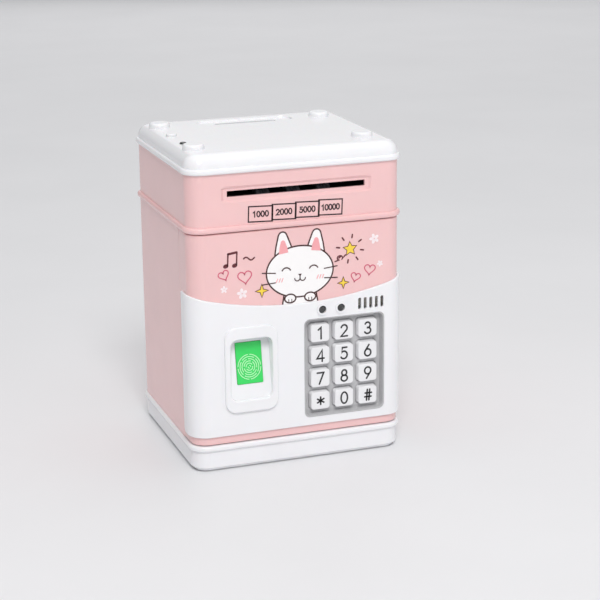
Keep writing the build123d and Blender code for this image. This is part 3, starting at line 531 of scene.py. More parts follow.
@dataclass(frozen=True)
class Face:
    """A flat face that marks sit on, in metres: a corner and its right, up and out."""

    origin: Vector
    right: Vector
    up: Vector

    @property
    def out(self) -> Vector:
        """The direction that points off the face."""
        return self.right.cross(self.up)

    def at(self, u: float, v: float, lift: float = 0.0) -> Vector:
        """The point u, v millimetres along the face and lift millimetres off it."""
        return self.origin + (self.right * u + self.up * v + self.out * lift) * MM


def front_face(y: float) -> Face:
    """An upright face looking to the front at y, with u along X and v along Z."""
    return Face(Vector((0, y, 0)), Vector((1, 0, 0)), Vector((0, 0, 1)))


class Marks:
    """Printed marks of one ink, gathered as thin closed solids on one face."""

    SUNK = 0.03
    THINNEST = 0.035
    LAYER = 0.03
    SHARPEST = 0.5
    CAP_STEPS = 6

    def __init__(self, face: Face, layer: int = 1) -> None:
        """Start with no marks.

        Args:
            face: The face they are printed on.
            layer: Higher layers lie over lower ones.
        """
        self.face = face
        self.top = self.THINNEST + self.LAYER * layer
        self.mesh = bmesh.new()

    def fill(self, outline: Sequence[Point]) -> None:
        """Add a filled shape.

        Args:
            outline: Its corners in order, in millimetres on the face.
        """
        lower = [self.mesh.verts.new(self.face.at(u, v, -self.SUNK)) for u, v in outline]
        upper = [self.mesh.verts.new(self.face.at(u, v, self.top)) for u, v in outline]
        count = len(outline)
        for corners in tessellate_polygon([[Vector((u, v, 0)) for u, v in outline]]):
            self.mesh.faces.new([upper[k] for k in corners])
            self.mesh.faces.new([lower[k] for k in reversed(corners)])
        for index in range(count):
            after = (index + 1) % count
            self.mesh.faces.new((lower[index], lower[after], upper[after], upper[index]))

    def line(self, points: Sequence[Point], width: float, closed: bool = False) -> None:
        """Add a line with round ends, or a closed loop.

        Args:
            points: The line's points, in millimetres on the face.
            width: Its width in millimetres.
            closed: Whether the last point joins the first.
        """
        path = [Vector(p) for p in points]
        if closed and (path[0] - path[-1]).length < 1e-6:
            path.pop()
        places = self._offsets(path, width, closed)
        rings = [self._section(here, side * reach) for here, side, reach in places]
        for near, far in zip(rings, rings[1:] + rings[:1] if closed else rings[1:]):
            for k in range(4):
                after = (k + 1) % 4
                self.mesh.faces.new((near[k], near[after], far[after], far[k]))
        if not closed:
            self._cap(rings[-1], path[-1], path[-1] - path[-2], width)
            self._cap(rings[0][1::-1] + rings[0][:1:-1], path[0], path[0] - path[1], width)

    @staticmethod
    def _offsets(path: Sequence[Vector], width: float, closed: bool) -> list[tuple[Vector, Vector, float]]:
        """Find where a line's edges run.

        Args:
            path: The line's points.
            width: Its width in millimetres.
            closed: Whether it is a loop.

        Returns:
            Each point, its sideways direction, and how far the edges lie from it.
        """
        count = len(path)
        places = []
        for index, here in enumerate(path):
            before = path[index - 1] if index or closed else None
            after = path[(index + 1) % count] if index < count - 1 or closed else None
            into = (here - before).normalized() if before is not None else None
            away = (after - here).normalized() if after is not None else None
            into, away = into or away, away or into
            along = (into + away).normalized() if (into + away).length > 1e-6 else into
            side = Vector((-along.y, along.x))
            places.append((here, side, width / 2 / max(Marks.SHARPEST, side.dot(Vector((-into.y, into.x))))))
        return places

    def _section(self, here: Vector, side: Vector) -> Ring:
        """Four corners of a line's section: left low, right low, right top, left top."""
        left, right = here + side, here - side
        spots = ((left, -self.SUNK), (right, -self.SUNK), (right, self.top), (left, self.top))
        return [self.mesh.verts.new(self.face.at(p.x, p.y, lift)) for p, lift in spots]

    def _cap(self, ring: Sequence[bmesh.types.BMVert], end: Vector, away: Vector, width: float) -> None:
        """Close a line with a round end that runs from its left edge to its right.

        Args:
            ring: The four corners of the line's last section.
            end: The line's last point.
            away: The direction that it ends in.
            width: Its width in millimetres.
        """
        start = math.atan2(away.y, away.x) + math.pi / 2
        turns = [start - math.pi * step / self.CAP_STEPS for step in range(1, self.CAP_STEPS)]
        rim = [end + Vector((math.cos(a), math.sin(a))) * width / 2 for a in turns]
        low = [self.mesh.verts.new(self.face.at(p.x, p.y, -self.SUNK)) for p in rim]
        top = [self.mesh.verts.new(self.face.at(p.x, p.y, self.top)) for p in rim]
        low = [ring[0], *low, ring[1]]
        top = [ring[3], *top, ring[2]]
        self.mesh.faces.new(top)
        self.mesh.faces.new(low[::-1])
        for index in range(len(low) - 1):
            self.mesh.faces.new((low[index], low[index + 1], top[index + 1], top[index]))

    def finish(self, name: str, finish: Finish, body: str, slot: str) -> bpy.types.Object:
        """Turn the marks into a piece that rides on its body.

        Args:
            name: Name of the piece.
            finish: The ink.
            body: The CAD body that carries it.
            slot: The record's material slot; not used.

        Returns:
            The piece.
        """
        return settle(piece_from(name, self.mesh, finish, 30.0), body)


# ------------------------------------------------------------------------- outlines
def arc(u: float, v: float, wide: float, high: float, start: float = 0, end: float = 360,
        steps: int = 18) -> list[Point]:
    """Points along an ellipse's arc.

    Args:
        u: Centre across.
        v: Centre up.
        wide: Half width.
        high: Half height.
        start: First angle in degrees.
        end: Last angle in degrees.
        steps: How many stretches the arc has.

    Returns:
        The points in order.
    """
    angles = [math.radians(start + (end - start) * k / steps) for k in range(steps + 1)]
    return [(u + wide * math.cos(a), v + high * math.sin(a)) for a in angles]


def oval(u: float, v: float, wide: float, high: float, steps: int) -> list[Point]:
    """A closed ellipse: its centre, half width, half height and number of points."""
    return arc(u, v, wide, high, steps=steps)[:-1]


def placed(points: Iterable[Point], u: float, v: float, scale: float = 1.0, turn: float = 0.0) -> list[Point]:
    """Scale, turn and move points.

    Args:
        points: The points.
        u: Where their origin goes across.
        v: Where it goes up.
        scale: How much larger they become.
        turn: How far they turn, in degrees.

    Returns:
        The new points.
    """
    c, s = math.cos(math.radians(turn)) * scale, math.sin(math.radians(turn)) * scale
    return [(u + x * c - y * s, v + x * s + y * c) for x, y in points]


def heart(steps: int = 36) -> list[Point]:
    """A heart one unit wide, point downwards.

    Args:
        steps: How many points it has.

    Returns:
        Its outline.
    """
    points = []
    for k in range(steps):
        t = 2 * math.pi * k / steps
        x = 16 * math.sin(t) ** 3
        y = 13 * math.cos(t) - 5 * math.cos(2 * t) - 2 * math.cos(3 * t) - math.cos(4 * t)
        points.append((x / 33, (y + 2.5) / 33))
    return points


def star(tips: int, inner: float, bulge: float = 0.0) -> list[Point]:
    """A star of radius one with its first tip up.

    Args:
        tips: How many tips it has.
        inner: Radius of the dips between them.
        bulge: Radius halfway down each side, which hollows it; 0 leaves it straight.

    Returns:
        Its outline.
    """
    points = []
    for k in range(tips):
        tip = math.pi / 2 + 2 * math.pi * k / tips
        dip = tip + math.pi / tips
        points.append((math.cos(tip), math.sin(tip)))
        if bulge:
            for part, reach in ((0.5, bulge), (1.0, inner), (1.5, bulge)):
                angle = tip + (dip - tip) * part
                points.append((reach * math.cos(angle), reach * math.sin(angle)))
        else:
            points.append((inner * math.cos(dip), inner * math.sin(dip)))
    return points


class Glyphs:
    """Plain single-line figures, one unit high, for keys and the number boxes."""

    WIDTH = 0.62

    def strokes(self, sign: str) -> list[tuple[list[Point], bool]]:
        """The lines of one figure.

        Args:
            sign: A digit, a star or a hash.

        Returns:
            Each line's points, and whether it is closed.
        """
        makers: dict[str, Callable[[], list[tuple[list[Point], bool]]]] = {
            "0": lambda: [(arc(.31, .5, .29, .5, 0, 360, 32), True)],
            "1": lambda: [([(.14, .80), (.38, 1.0), (.38, 0.0)], False)],
            "2": lambda: [(arc(.31, .71, .27, .29, 165, -36) + [(.03, 0), (.60, 0)], False)],
            "3": lambda: [(arc(.29, .755, .235, .245, 155, -88)
                           + arc(.29, .265, .285, .265, 88, -155), False)],
            "4": lambda: [([(.47, 0), (.47, 1.0), (.0, .27), (.64, .27)], False)],
            "5": lambda: [([(.55, 1), (.15, 1), (.09, .57)] + arc(.28, .335, .30, .335, 128, -148), False)],
            "6": lambda: [(arc(.31, .31, .28, .31, 0, 360, 28), True), ([(.08, .47), (.42, 1.0)], False)],
            "7": lambda: [([(.02, 1), (.60, 1), (.20, 0)], False)],
            "8": lambda: [(arc(.31, .755, .22, .245, 0, 360, 26), True),
                          (arc(.31, .265, .28, .265, 0, 360, 28), True)],
            "9": lambda: [(arc(.31, .69, .28, .31, 0, 360, 28), True), ([(.54, .53), (.20, 0)], False)],
            "star": lambda: [(arc(.31, .5, .33, .33, a, a + 180, 2)[::2], False) for a in (30, 90, 150)],
            "hash": lambda: [([(.20, .02), (.28, .98)], False), ([(.42, .02), (.50, .98)], False),
                             ([(.04, .33), (.62, .33)], False), ([(.08, .67), (.66, .67)], False)],
        }
        return makers[sign]()

    def write(self, marks: Marks, sign: str, u: float, v: float, high: float, line: float) -> None:
        """Draw one figure.

        Args:
            marks: The marks it joins.
            sign: A digit, a star or a hash.
            u: Its middle across.
            v: Its middle up.
            high: Its height.
            line: The width of its lines.
        """
        for points, closed in self.strokes(sign):
            shifted = placed(((x - self.WIDTH / 2, y - 0.5) for x, y in points), u, v, high)
            marks.line(shifted, line, closed)


# --------------------------------------------------------------------- repeated parts
class Repeater:
    """Geometry Nodes that set one small shape at many places and bake the result."""

    def _tree(self, name: str, inputs: Sequence[tuple[str, str]]) -> tuple[Tree, bpy.types.Node]:
        """Start a tree with a geometry output and named inputs.

        Args:
            name: The tree's name.
            inputs: Each input's name and socket type.

        Returns:
            The tree and its input node.
        """
        tree = bpy.data.node_groups.new(name, "GeometryNodeTree")
        tree.interface.new_socket("Geometry", in_out="OUTPUT", socket_type="NodeSocketGeometry")
        for label, kind in inputs:
            tree.interface.new_socket(label, in_out="INPUT", socket_type=kind)
        return tree, tree.nodes.new("NodeGroupInput")

    def _close(self, tree: Tree, given: bpy.types.Node, instances: Socket) -> None:
        """End a tree in Realize Instances and Set Material.

        Args:
            tree: The tree.
            given: Its input node.
            instances: The copies.
        """
        real = tree.nodes.new("GeometryNodeRealizeInstances")
        coat = tree.nodes.new("GeometryNodeSetMaterial")
        end = tree.nodes.new("NodeGroupOutput")
        tree.links.new(instances, real.inputs["Geometry"])
        tree.links.new(real.outputs["Geometry"], coat.inputs["Geometry"])
        tree.links.new(given.outputs["Finish"], coat.inputs["Material"])
        tree.links.new(coat.outputs["Geometry"], end.inputs["Geometry"])

    def _shape(self, tree: Tree, given: bpy.types.Node, label: str) -> Socket:
        """Read an input object's geometry.

        Args:
            tree: The tree.
            given: Its input node.
            label: The input's name.

        Returns:
            The geometry.
        """
        info = tree.nodes.new("GeometryNodeObjectInfo")
        tree.links.new(given.outputs[label], info.inputs["Object"])
        return info.outputs["Geometry"]

    def _bake(self, name: str, tree: Tree, values: dict[str, object],
              spare: Sequence[bpy.types.Object]) -> bpy.types.Object:
        """Run the tree and keep its result as a plain mesh object.

        Args:
            name: Name of the piece.
            tree: The tree.
            values: What each of its inputs is given.
            spare: Objects that are removed afterwards.

        Returns:
            The piece.
        """
        holder = bpy.data.objects.new(name + "_holder", bpy.data.meshes.new(name))
        bpy.context.scene.collection.objects.link(holder)
        modifier = holder.modifiers.new("repeat", "NODES")
        modifier.node_group = tree
        for item in tree.interface.items_tree:
            if item.in_out == "INPUT":
                modifier[item.identifier] = values[item.name]
        holder.update_tag()
        bpy.context.view_layer.update()
        ready = holder.evaluated_get(bpy.context.evaluated_depsgraph_get())
        data = bpy.data.meshes.new_from_object(ready)
        for extra in (holder, *spare):
            bpy.data.objects.remove(extra)
        bpy.data.node_groups.remove(tree)
        data.name = name
        piece = bpy.data.objects.new(name, data)
        bpy.context.scene.collection.objects.link(piece)
        return piece

    def ring(self, name: str, shape: bpy.types.Object, count: int, radius: float,
             finish: Finish, seat: Matrix) -> bpy.types.Object:
        """Set copies of a shape round a circle, each turned outwards.

        Args:
            name: Name of the piece.
            shape: The shape, pointing along +X; it is used up.
            count: How many copies.
            radius: The circle's radius in metres.
            finish: The finish to wear.
            seat: Where the circle goes; it is drawn in the XY plane.

        Returns:
            The baked piece.
        """
        tree, given = self._tree("ring_of_copies", (
            ("Shape", "NodeSocketObject"), ("Count", "NodeSocketInt"),
            ("Radius", "NodeSocketFloat"), ("Finish", "NodeSocketMaterial")))
        circle = tree.nodes.new("GeometryNodeMeshCircle")
        tree.links.new(given.outputs["Count"], circle.inputs["Vertices"])
        tree.links.new(given.outputs["Radius"], circle.inputs["Radius"])
        index = tree.nodes.new("GeometryNodeInputIndex")
        share = tree.nodes.new("ShaderNodeMath")
        share.operation = "DIVIDE"
        tree.links.new(index.outputs["Index"], share.inputs[0])
        tree.links.new(given.outputs["Count"], share.inputs[1])
        turn = tree.nodes.new("ShaderNodeMath")
        turn.operation = "MULTIPLY"
        turn.inputs[1].default_value = 2 * math.pi
        tree.links.new(share.outputs[0], turn.inputs[0])
        angle = tree.nodes.new("ShaderNodeCombineXYZ")
        tree.links.new(turn.outputs[0], angle.inputs["Z"])
        copies = tree.nodes.new("GeometryNodeInstanceOnPoints")
        tree.links.new(circle.outputs["Mesh"], copies.inputs["Points"])
        tree.links.new(self._shape(tree, given, "Shape"), copies.inputs["Instance"])
        tree.links.new(angle.outputs["Vector"], copies.inputs["Rotation"])
        self._close(tree, given, copies.outputs["Instances"])
        piece = self._bake(name, tree, {"Shape": shape, "Count": count, "Radius": radius,
                                        "Finish": finish.paint()}, (shape,))
        piece.data.transform(seat)
        return piece

    def scatter(self, name: str, shape: bpy.types.Object, places: Sequence[Vector],
                finish: Finish, turn: Sequence[float] = (0, 0, 0)) -> bpy.types.Object:
        """Set copies of a shape at given places, all turned the same way.

        Args:
            name: Name of the piece.
            shape: The shape, drawn round the origin; it is used up.
            places: Where the copies go, in metres.
            finish: The finish to wear.
            turn: Euler angles in radians for every copy.

        Returns:
            The baked piece.
        """
        cloud = bpy.data.meshes.new("places")
        cloud.from_pydata([tuple(p) for p in places], [], [])
        holder = bpy.data.objects.new("places", cloud)
        bpy.context.scene.collection.objects.link(holder)
        tree, given = self._tree("copies_at_places", (
            ("Shape", "NodeSocketObject"), ("Places", "NodeSocketObject"),
            ("Turn", "NodeSocketVector"), ("Finish", "NodeSocketMaterial")))
        points = tree.nodes.new("GeometryNodeMeshToPoints")
        tree.links.new(self._shape(tree, given, "Places"), points.inputs["Mesh"])
        copies = tree.nodes.new("GeometryNodeInstanceOnPoints")
        tree.links.new(points.outputs["Points"], copies.inputs["Points"])
        tree.links.new(self._shape(tree, given, "Shape"), copies.inputs["Instance"])
        tree.links.new(given.outputs["Turn"], copies.inputs["Rotation"])
        self._close(tree, given, copies.outputs["Instances"])
        return self._bake(name, tree, {"Shape": shape, "Places": holder, "Turn": tuple(turn),
                                       "Finish": finish.paint()}, (shape, holder))


def lathe(profile: Sequence[Point], steps: int = 24, cross: int = 0) -> bmesh.types.BMesh:
    """Turn a profile round Z into a closed shape.

    Args:
        profile: Radius and height in millimetres, from one end on the axis to the other.
        steps: How many faces go round.
        cross: How many rings before the last point are drawn in to a driver's cross.

    Returns:
        The shape in metres.
    """
    mesh = bmesh.new()
    rings = []
    for index, (radius, height) in enumerate(profile):
        if radius < 1e-6:
            rings.append([mesh.verts.new((0, 0, height * MM))])
            continue
        drawn_in = CROSS_REACH if len(profile) - 1 - cross <= index else (1.0,)
        ring = []
        for k in range(steps):
            angle, reach = 2 * math.pi * k / steps, radius * drawn_in[k % len(drawn_in)] * MM
            ring.append(mesh.verts.new((reach * math.cos(angle), reach * math.sin(angle), height * MM)))
        rings.append(ring)
    for low, high in zip(rings, rings[1:]):
        for k in range(steps):
            after = (k + 1) % steps
            corners = [low[k % len(low)], low[after % len(low)], high[after % len(high)], high[k % len(high)]]
            unique = list(dict.fromkeys(corners))
            if len(unique) > 2:
                mesh.faces.new(unique)
    return mesh


# ------------------------------------------------------------------------ the object
@dataclass
class Housing:
    """Case, upper housing, lid, base and door shells, which keep their CAD shapes."""

    finishes: dict[str, Finish] = field(default_factory=lambda: {
        "body_shell": Finish.PINK, "upper_shell": Finish.PINK, "door_panel": Finish.PINK,
        "deck_plate": Finish.PINK, "lid": Finish.WHITE, "lid_button": Finish.WHITE,
        "base_tray": Finish.WHITE, "door_fascia": Finish.WHITE, "finger_bezel": Finish.WHITE,
        "door_back": Finish.WHITE, "battery_cover": Finish.WHITE, "coin_chute": Finish.BLACK,
        "note_guide": Finish.BLACK, "battery_box": Finish.BLACK, "lock_bracket": Finish.BLACK,
        "rubber_feet": Finish.FOOT, "status_windows": Finish.SMOKED,
        "lid_lamp": Finish.SMOKED, "keypad_bezel": Finish.GREY,
        "finger_lens": Finish.GREEN, "key_mat": Finish.MAT, "hinge_pins": Finish.STEEL,
        "feed_frame": Finish.STEEL, "feed_motor": Finish.CAN, "lock_motor": Finish.CAN,
        "drive_shaft": Finish.STEEL, "idler_shaft": Finish.STEEL, "drive_wheels": Finish.TYRE,
        "idler_wheels": Finish.TYRE, "roller_gear": Finish.ACETAL, "motor_pinion": Finish.ACETAL,
        "lock_pinion": Finish.ACETAL, "lock_bolt": Finish.ACETAL, "batteries": Finish.CELLS,
        "battery_contacts": Finish.NICKEL, "speaker": Finish.CONE, "feed_board": Finish.BOARD,
        "finger_board": Finish.BOARD, "keypad_board": Finish.BOARD, "control_board": Finish.BOARD,
        "button_switch": Finish.BOARD, "base_screws": Finish.STEEL, "deck_screws": Finish.STEEL,
        "door_screws": Finish.STEEL, "cover_screw": Finish.STEEL})

    def build(self) -> None:
        """Dress every shell."""
        for node, finish in self.finishes.items():
            dress(node, finish)


@dataclass
class NumberBoxes:
    """Four outlined boxes in steps, with plain numbers, below the note slot."""

    labels: tuple[str, ...] = ("1000", "2000", "5000", "10000")
    left: float = -21.8
    middle: float = 149.3
    wide: float = 14.1
    high: float = 8.7
    step: float = 13.8
    rise: float = 0.12
    lean: float = -2.3
    frame_line: float = 0.76
    figure: float = 3.05
    figure_line: float = 0.74
    wall: float = 2.45

    def build(self) -> None:
        """Print the boxes and their numbers on the upper housing."""
        face = front_face(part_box("note_guide")[0].y - self.wall * MM)
        marks, glyphs = Marks(face), Glyphs()
        half, tall = self.wide / 2, self.high / 2
        for index, label in enumerate(self.labels):
            u, v = self.left + self.step * index, self.middle + self.rise * index
            corners = [(-half, -tall), (-half, tall), (half, tall), (half, -tall)]
            marks.line(placed(corners, u, v, 1.0, self.lean), self.frame_line, closed=True)
            pace = 2.45 if len(label) < 5 else 2.25
            start = u - pace * (len(label) - 1) / 2
            for place, sign in enumerate(label):
                glyphs.write(marks, sign, start + pace * place, v, self.figure, self.figure_line)
        marks.finish("number_boxes", Finish.NUMBER, "case", "pink_plastic")


@dataclass
class DoorArt:
    """Cheerful print on the pink part of the door: kitten, hearts, flowers, stars."""

    head_u: float = 1.0
    head_v: float = 114.1
    head_wide: float = 20.0
    head_high: float = 14.9
    star_u: float = 31.4
    star_v: float = 124.3
    line: float = 0.85

    def build(self) -> None:
        """Print every motif on the door's front."""
        self.face = front_face(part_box("door_panel")[0].y)
        self.repeat = Repeater()
        self.kitten()
        self.hearts()
        self.flowers()
        self.sparkles()
        self.tune()

    def seat(self, u: float, v: float, turn: float) -> Matrix:
        """The place of a ring of copies on the door.

        Args:
            u: Its middle across.
            v: Its middle up.
            turn: How far it is turned, in degrees.

        Returns:
            The matrix that stands a flat ring up on the face there.
        """
        upright = Matrix.Translation(self.face.at(u, v)) @ Matrix.Rotation(math.pi / 2, 4, "X")
        return upright @ Matrix.Rotation(math.radians(turn), 4, "Z")

    def ear(self, side: int, grow: float) -> list[Point]:
        """An ear as a tall triangle with a rounded tip.

        Args:
            side: -1 for the left ear, 1 for the right.
            grow: Its size; below 1 gives its inner part.

        Returns:
            Its outline.
        """
        foot = self.head_u + side * 9.6
        base = self.head_v + 9.4
        half, tip = 5.6, 2.7
        points = [(foot - half, base - (1.6 if side < 0 else 0)), (foot - half * 0.80, base + 6.0)]
        points += arc(foot + side * 0.5, base + 11.2, tip, tip * 1.15, 160, 20, 10)
        points += [(foot + half * 0.80, base + 6.0), (foot + half, base - (1.6 if side > 0 else 0))]
        middle = (foot + side * 0.2, base + 4.6)
        return [(middle[0] + (u - middle[0]) * grow, middle[1] + (v - middle[1]) * grow) for u, v in points]

    def kitten(self) -> None:
        """A plain kitten face with paws on the fascia's edge."""
        u, v = self.head_u, self.head_v
        body = [(u - 10.8, v - 19.7), (u - 9.4, v - 11.5), (u + 9.4, v - 11.5), (u + 10.8, v - 19.7)]
        under, white = Marks(self.face, 2), Marks(self.face, 1)
        for side in (-1, 1):
            under.line(self.ear(side, 1.0), self.line)
            white.fill(self.ear(side, 1.0))
        under.line(body[:2], self.line)
        under.line(body[2:], self.line)
        white.fill(body)
        under.finish("kitten_outline_low", Finish.BROWN, "door", "pink_plastic")
        white.finish("kitten_white_low", Finish.PETAL, "door", "pink_plastic")
        rounds = [(u, v, self.head_wide, self.head_high)]
        rounds += [(u + side * 6.0, v - 15.4, 3.3, 2.5) for side in (-1, 1)]
        for name, low, some in (("head", 3, rounds[:1]), ("paws", 5, rounds[1:])):
            fur, rim = Marks(self.face, low), Marks(self.face, low + 1)
            for mid, height, wide, high in some:
                outline = oval(mid, height, wide, high, 64)
                fur.fill(outline)
                rim.line(outline, self.line, closed=True)
            rim.finish(f"kitten_{name}_rim", Finish.BROWN, "door", "pink_plastic")
            fur.finish(f"kitten_{name}", Finish.PETAL, "door", "pink_plastic")
        self.features(u, v)

    def features(self, u: float, v: float) -> None:
        """Closed happy eyes, small nose, mouth, whiskers, blush strokes and inner ears.

        Args:
            u: The head's middle across.
            v: The head's middle up.
        """
        lines, blush = Marks(self.face, 7), Marks(self.face, 6)
        for side in (-1, 1):
            lines.line(arc(u + side * 8.2, v + 0.2, 2.7, 2.6, 155, 25, 12), 0.72)
            lines.line(arc(u + side * 1.6, v - 3.9, 1.6, 1.6, 180, 360, 12), 0.6)
            for tilt, height in ((8, -1.2), (-6, -4.2)):
                away = placed([(14.8, 0), (22.6, 0)], 0, 0, 1.0, tilt)
                lines.line([(u + side * a, v + height + b * 0.7) for a, b in away], 0.6)
            for stroke in (-1.6, 0.0, 1.6):
                middle = u + side * 12.2 + stroke
                blush.line([(middle + 0.4, v - 3.2), (middle - 0.4, v - 5.2)], 0.5)
            blush.fill(self.ear(side, 0.5))
            for toe in (-0.9, 0.9):
                lines.line([(u + side * 6.0 + toe, v - 15.9), (u + side * 6.0 + toe, v - 17.2)], 0.45)
        lines.fill([(u - 1.1, v - 1.5), (u, v - 2.9), (u + 1.1, v - 1.5)])
        lines.line([(u, v - 2.4), (u, v - 3.9)], 0.6)
        lines.finish("kitten_lines", Finish.BROWN, "door", "pink_plastic")
        blush.finish("kitten_blush", Finish.BLUSH, "door", "pink_plastic")

    def hearts(self) -> None:
        """Outlined hearts in rose."""
        marks = Marks(self.face)
        for u, v, size, turn in ((-43.8, 115.7, 6.4, 22), (-31.6, 113.4, 8.4, 6),
                                 (34.6, 107.0, 6.0, -16), (43.4, 110.6, 6.9, -8)):
            marks.line(placed(heart(), u, v, size, turn), 0.66, closed=True)
        marks.finish("hearts", Finish.ROSE, "door", "pink_plastic")

    def flowers(self) -> None:
        """White flowers of five petals each, set round a ring."""
        for index, (u, v, size) in enumerate(((-44.0, 107.9, 1.7), (-33.4, 104.5, 2.5),
                                              (46.2, 128.9, 2.4), (49.8, 113.9, 1.5))):
            petal = Marks(Face(Vector(), Vector((1, 0, 0)), Vector((0, 1, 0))))
            petal.fill(oval(0.15 * size, 0, 0.56 * size, 0.38 * size, 18))
            shape = piece_from("petal", petal.mesh, Finish.BLOSSOM)
            seat = self.seat(u, v, 90 + 9 * index)
            piece = self.repeat.ring(f"flower_{index + 1}", shape, 5, 0.56 * size * MM, Finish.BLOSSOM, seat)
            settle(piece, "door")

    def sparkles(self) -> None:
        """Four-pointed sparkles and one star with rays and a curl below it."""
        edge, gold = Marks(self.face, 2), Marks(self.face, 1)
        shapes = [(star(4, 0.34, 0.50), -21.8, 104.9, 3.9, 0), (star(4, 0.34, 0.50), 27.2, 104.7, 3.5, 0),
                  (star(5, 0.48), self.star_u, self.star_v, 4.3, 3)]
        for shape, u, v, size, turn in shapes:
            outline = placed(shape, u, v, size, turn)
            gold.fill(outline)
            edge.line(outline, 0.42, closed=True)
        curl = arc(25.2, 119.5, 1.6, 1.3, 250, -40, 16) + [(27.8, 120.2), (28.6, 121.0)]
        edge.line([(22.2, 117.6), (23.8, 118.1)] + curl, 0.75)
        edge.finish("sparkle_edges", Finish.MAROON, "door", "pink_plastic")
        gold.finish("sparkles", Finish.YELLOW, "door", "pink_plastic")
        ray = Marks(Face(Vector(), Vector((1, 0, 0)), Vector((0, 1, 0))))
        ray.line([(0, 0), (1.8, 0)], 0.9)
        shape = piece_from("ray", ray.mesh, Finish.MAROON)
        seat = self.seat(self.star_u, self.star_v, 35)
        piece = self.repeat.ring("star_rays", shape, 8, 6.5 * MM, Finish.MAROON, seat)
        settle(piece, "door")

    def tune(self) -> None:
        """A hand-drawn pair of notes and a small wave."""
        marks = Marks(self.face)
        for u in (-41.6, -36.4):
            marks.fill(placed(oval(0, 0, 1.6, 1.2, 20), u - 1.1, 121.2, 1.0, 20))
            marks.line([(u, 121.4), (u + 0.3, 128.0)], 0.85)
        marks.line([(-41.2, 128.0), (-36.2, 128.7)], 1.3)
        wave = [(-32.2 + 0.45 * k, 124.4 + 0.9 * math.sin(k * 0.46 + 0.2)) for k in range(15)]
        marks.line(wave, 0.85)
        marks.finish("tune_doodle", Finish.MAROON, "door", "pink_plastic")


@dataclass
class Keypad:
    """Twelve keys with printed figures."""

    figure: float = 6.8
    line: float = 1.0
    signs: tuple[str, ...] = ("1", "2", "3", "4", "5", "6", "7", "8", "9", "star", "0", "hash")

    def build(self) -> None:
        """Dress the keys and print their figures."""
        glyphs = Glyphs()
        for sign in self.signs:
            node = "key_" + sign
            dress(node, Finish.KEY)
            low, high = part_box(node)
            marks = Marks(front_face(low.y))
            glyphs.write(marks, sign, (low.x + high.x) / 2 / MM, (low.z + high.z) / 2 / MM,
                         self.figure, self.line)
            marks.finish("figure_" + sign, Finish.DIGIT, node, "key_plastic")


@dataclass
class FingerWindow:
    """Lit green window with a raised whorl of fine ridges."""

    ridges: int = 6
    pitch: float = 1.24
    line: float = 0.46
    drop: float = 2.2

    def build(self) -> None:
        """Draw the whorl on the window's sloping face."""
        joint = next(j for j in frame["joints"] if j["name"] == "finger_press")
        out = -Vector(joint["axis"]).normalized()
        node = frame["nodes"]["finger_lens"]
        reach = max(v.co.dot(out) for v in node.data.vertices)
        low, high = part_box("finger_lens")
        right = Vector((1, 0, 0))
        up = out.cross(right)
        middle = (low + high) / 2
        middle += out * (reach - middle.dot(out))
        face = Face(middle - up * self.drop * MM, right, up)
        marks = Marks(face, 1)
        for ridge in range(self.ridges):
            radius = 0.8 + self.pitch * ridge
            pieces = 2 + ridge // 2
            for part in range(pieces):
                start = 360 / pieces * part + 37 * ridge
                sweep = 360 / pieces - 75 / radius
                marks.line(arc(0, 0, radius * 0.97, radius * 1.02, start, start + sweep, 12), self.line)
        marks.finish("finger_whorl", Finish.WHORL, "finger_window", "green_window")


@dataclass
class Gauze:
    """Fine metal gauze that shows behind the speaker slots."""

    pitch: float = 0.75
    wire: float = 0.2
    depth: float = 0.5

    def build(self) -> None:
        """Weave the wires in front of the speaker."""
        low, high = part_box("speaker")
        middle = (low + high) / 2
        half = (high.x - low.x) / 2 / MM - 0.6
        count = int(half * 2 / self.pitch)
        steps = [(index - (count - 1) / 2) * self.pitch * MM for index in range(count)]
        wires = []
        for name, turn, back in (("upright", (0, 0, 0), 0.0), ("level", (0, math.pi / 2, 0), 2 * self.wire)):
            rod = lathe([(0, -half), (self.wire, -half), (self.wire, half), (0, half)], 8)
            shape = piece_from(name, rod, Finish.NICKEL)
            y = low.y - (self.depth - back) * MM
            seats = [Vector((middle.x + (0 if turn[1] else s), y, middle.z + (s if turn[1] else 0)))
                     for s in steps]
            wires.append(Repeater().scatter("gauze_" + name, shape, seats, Finish.NICKEL, turn))
        for piece in wires:
            settle(piece, "door")


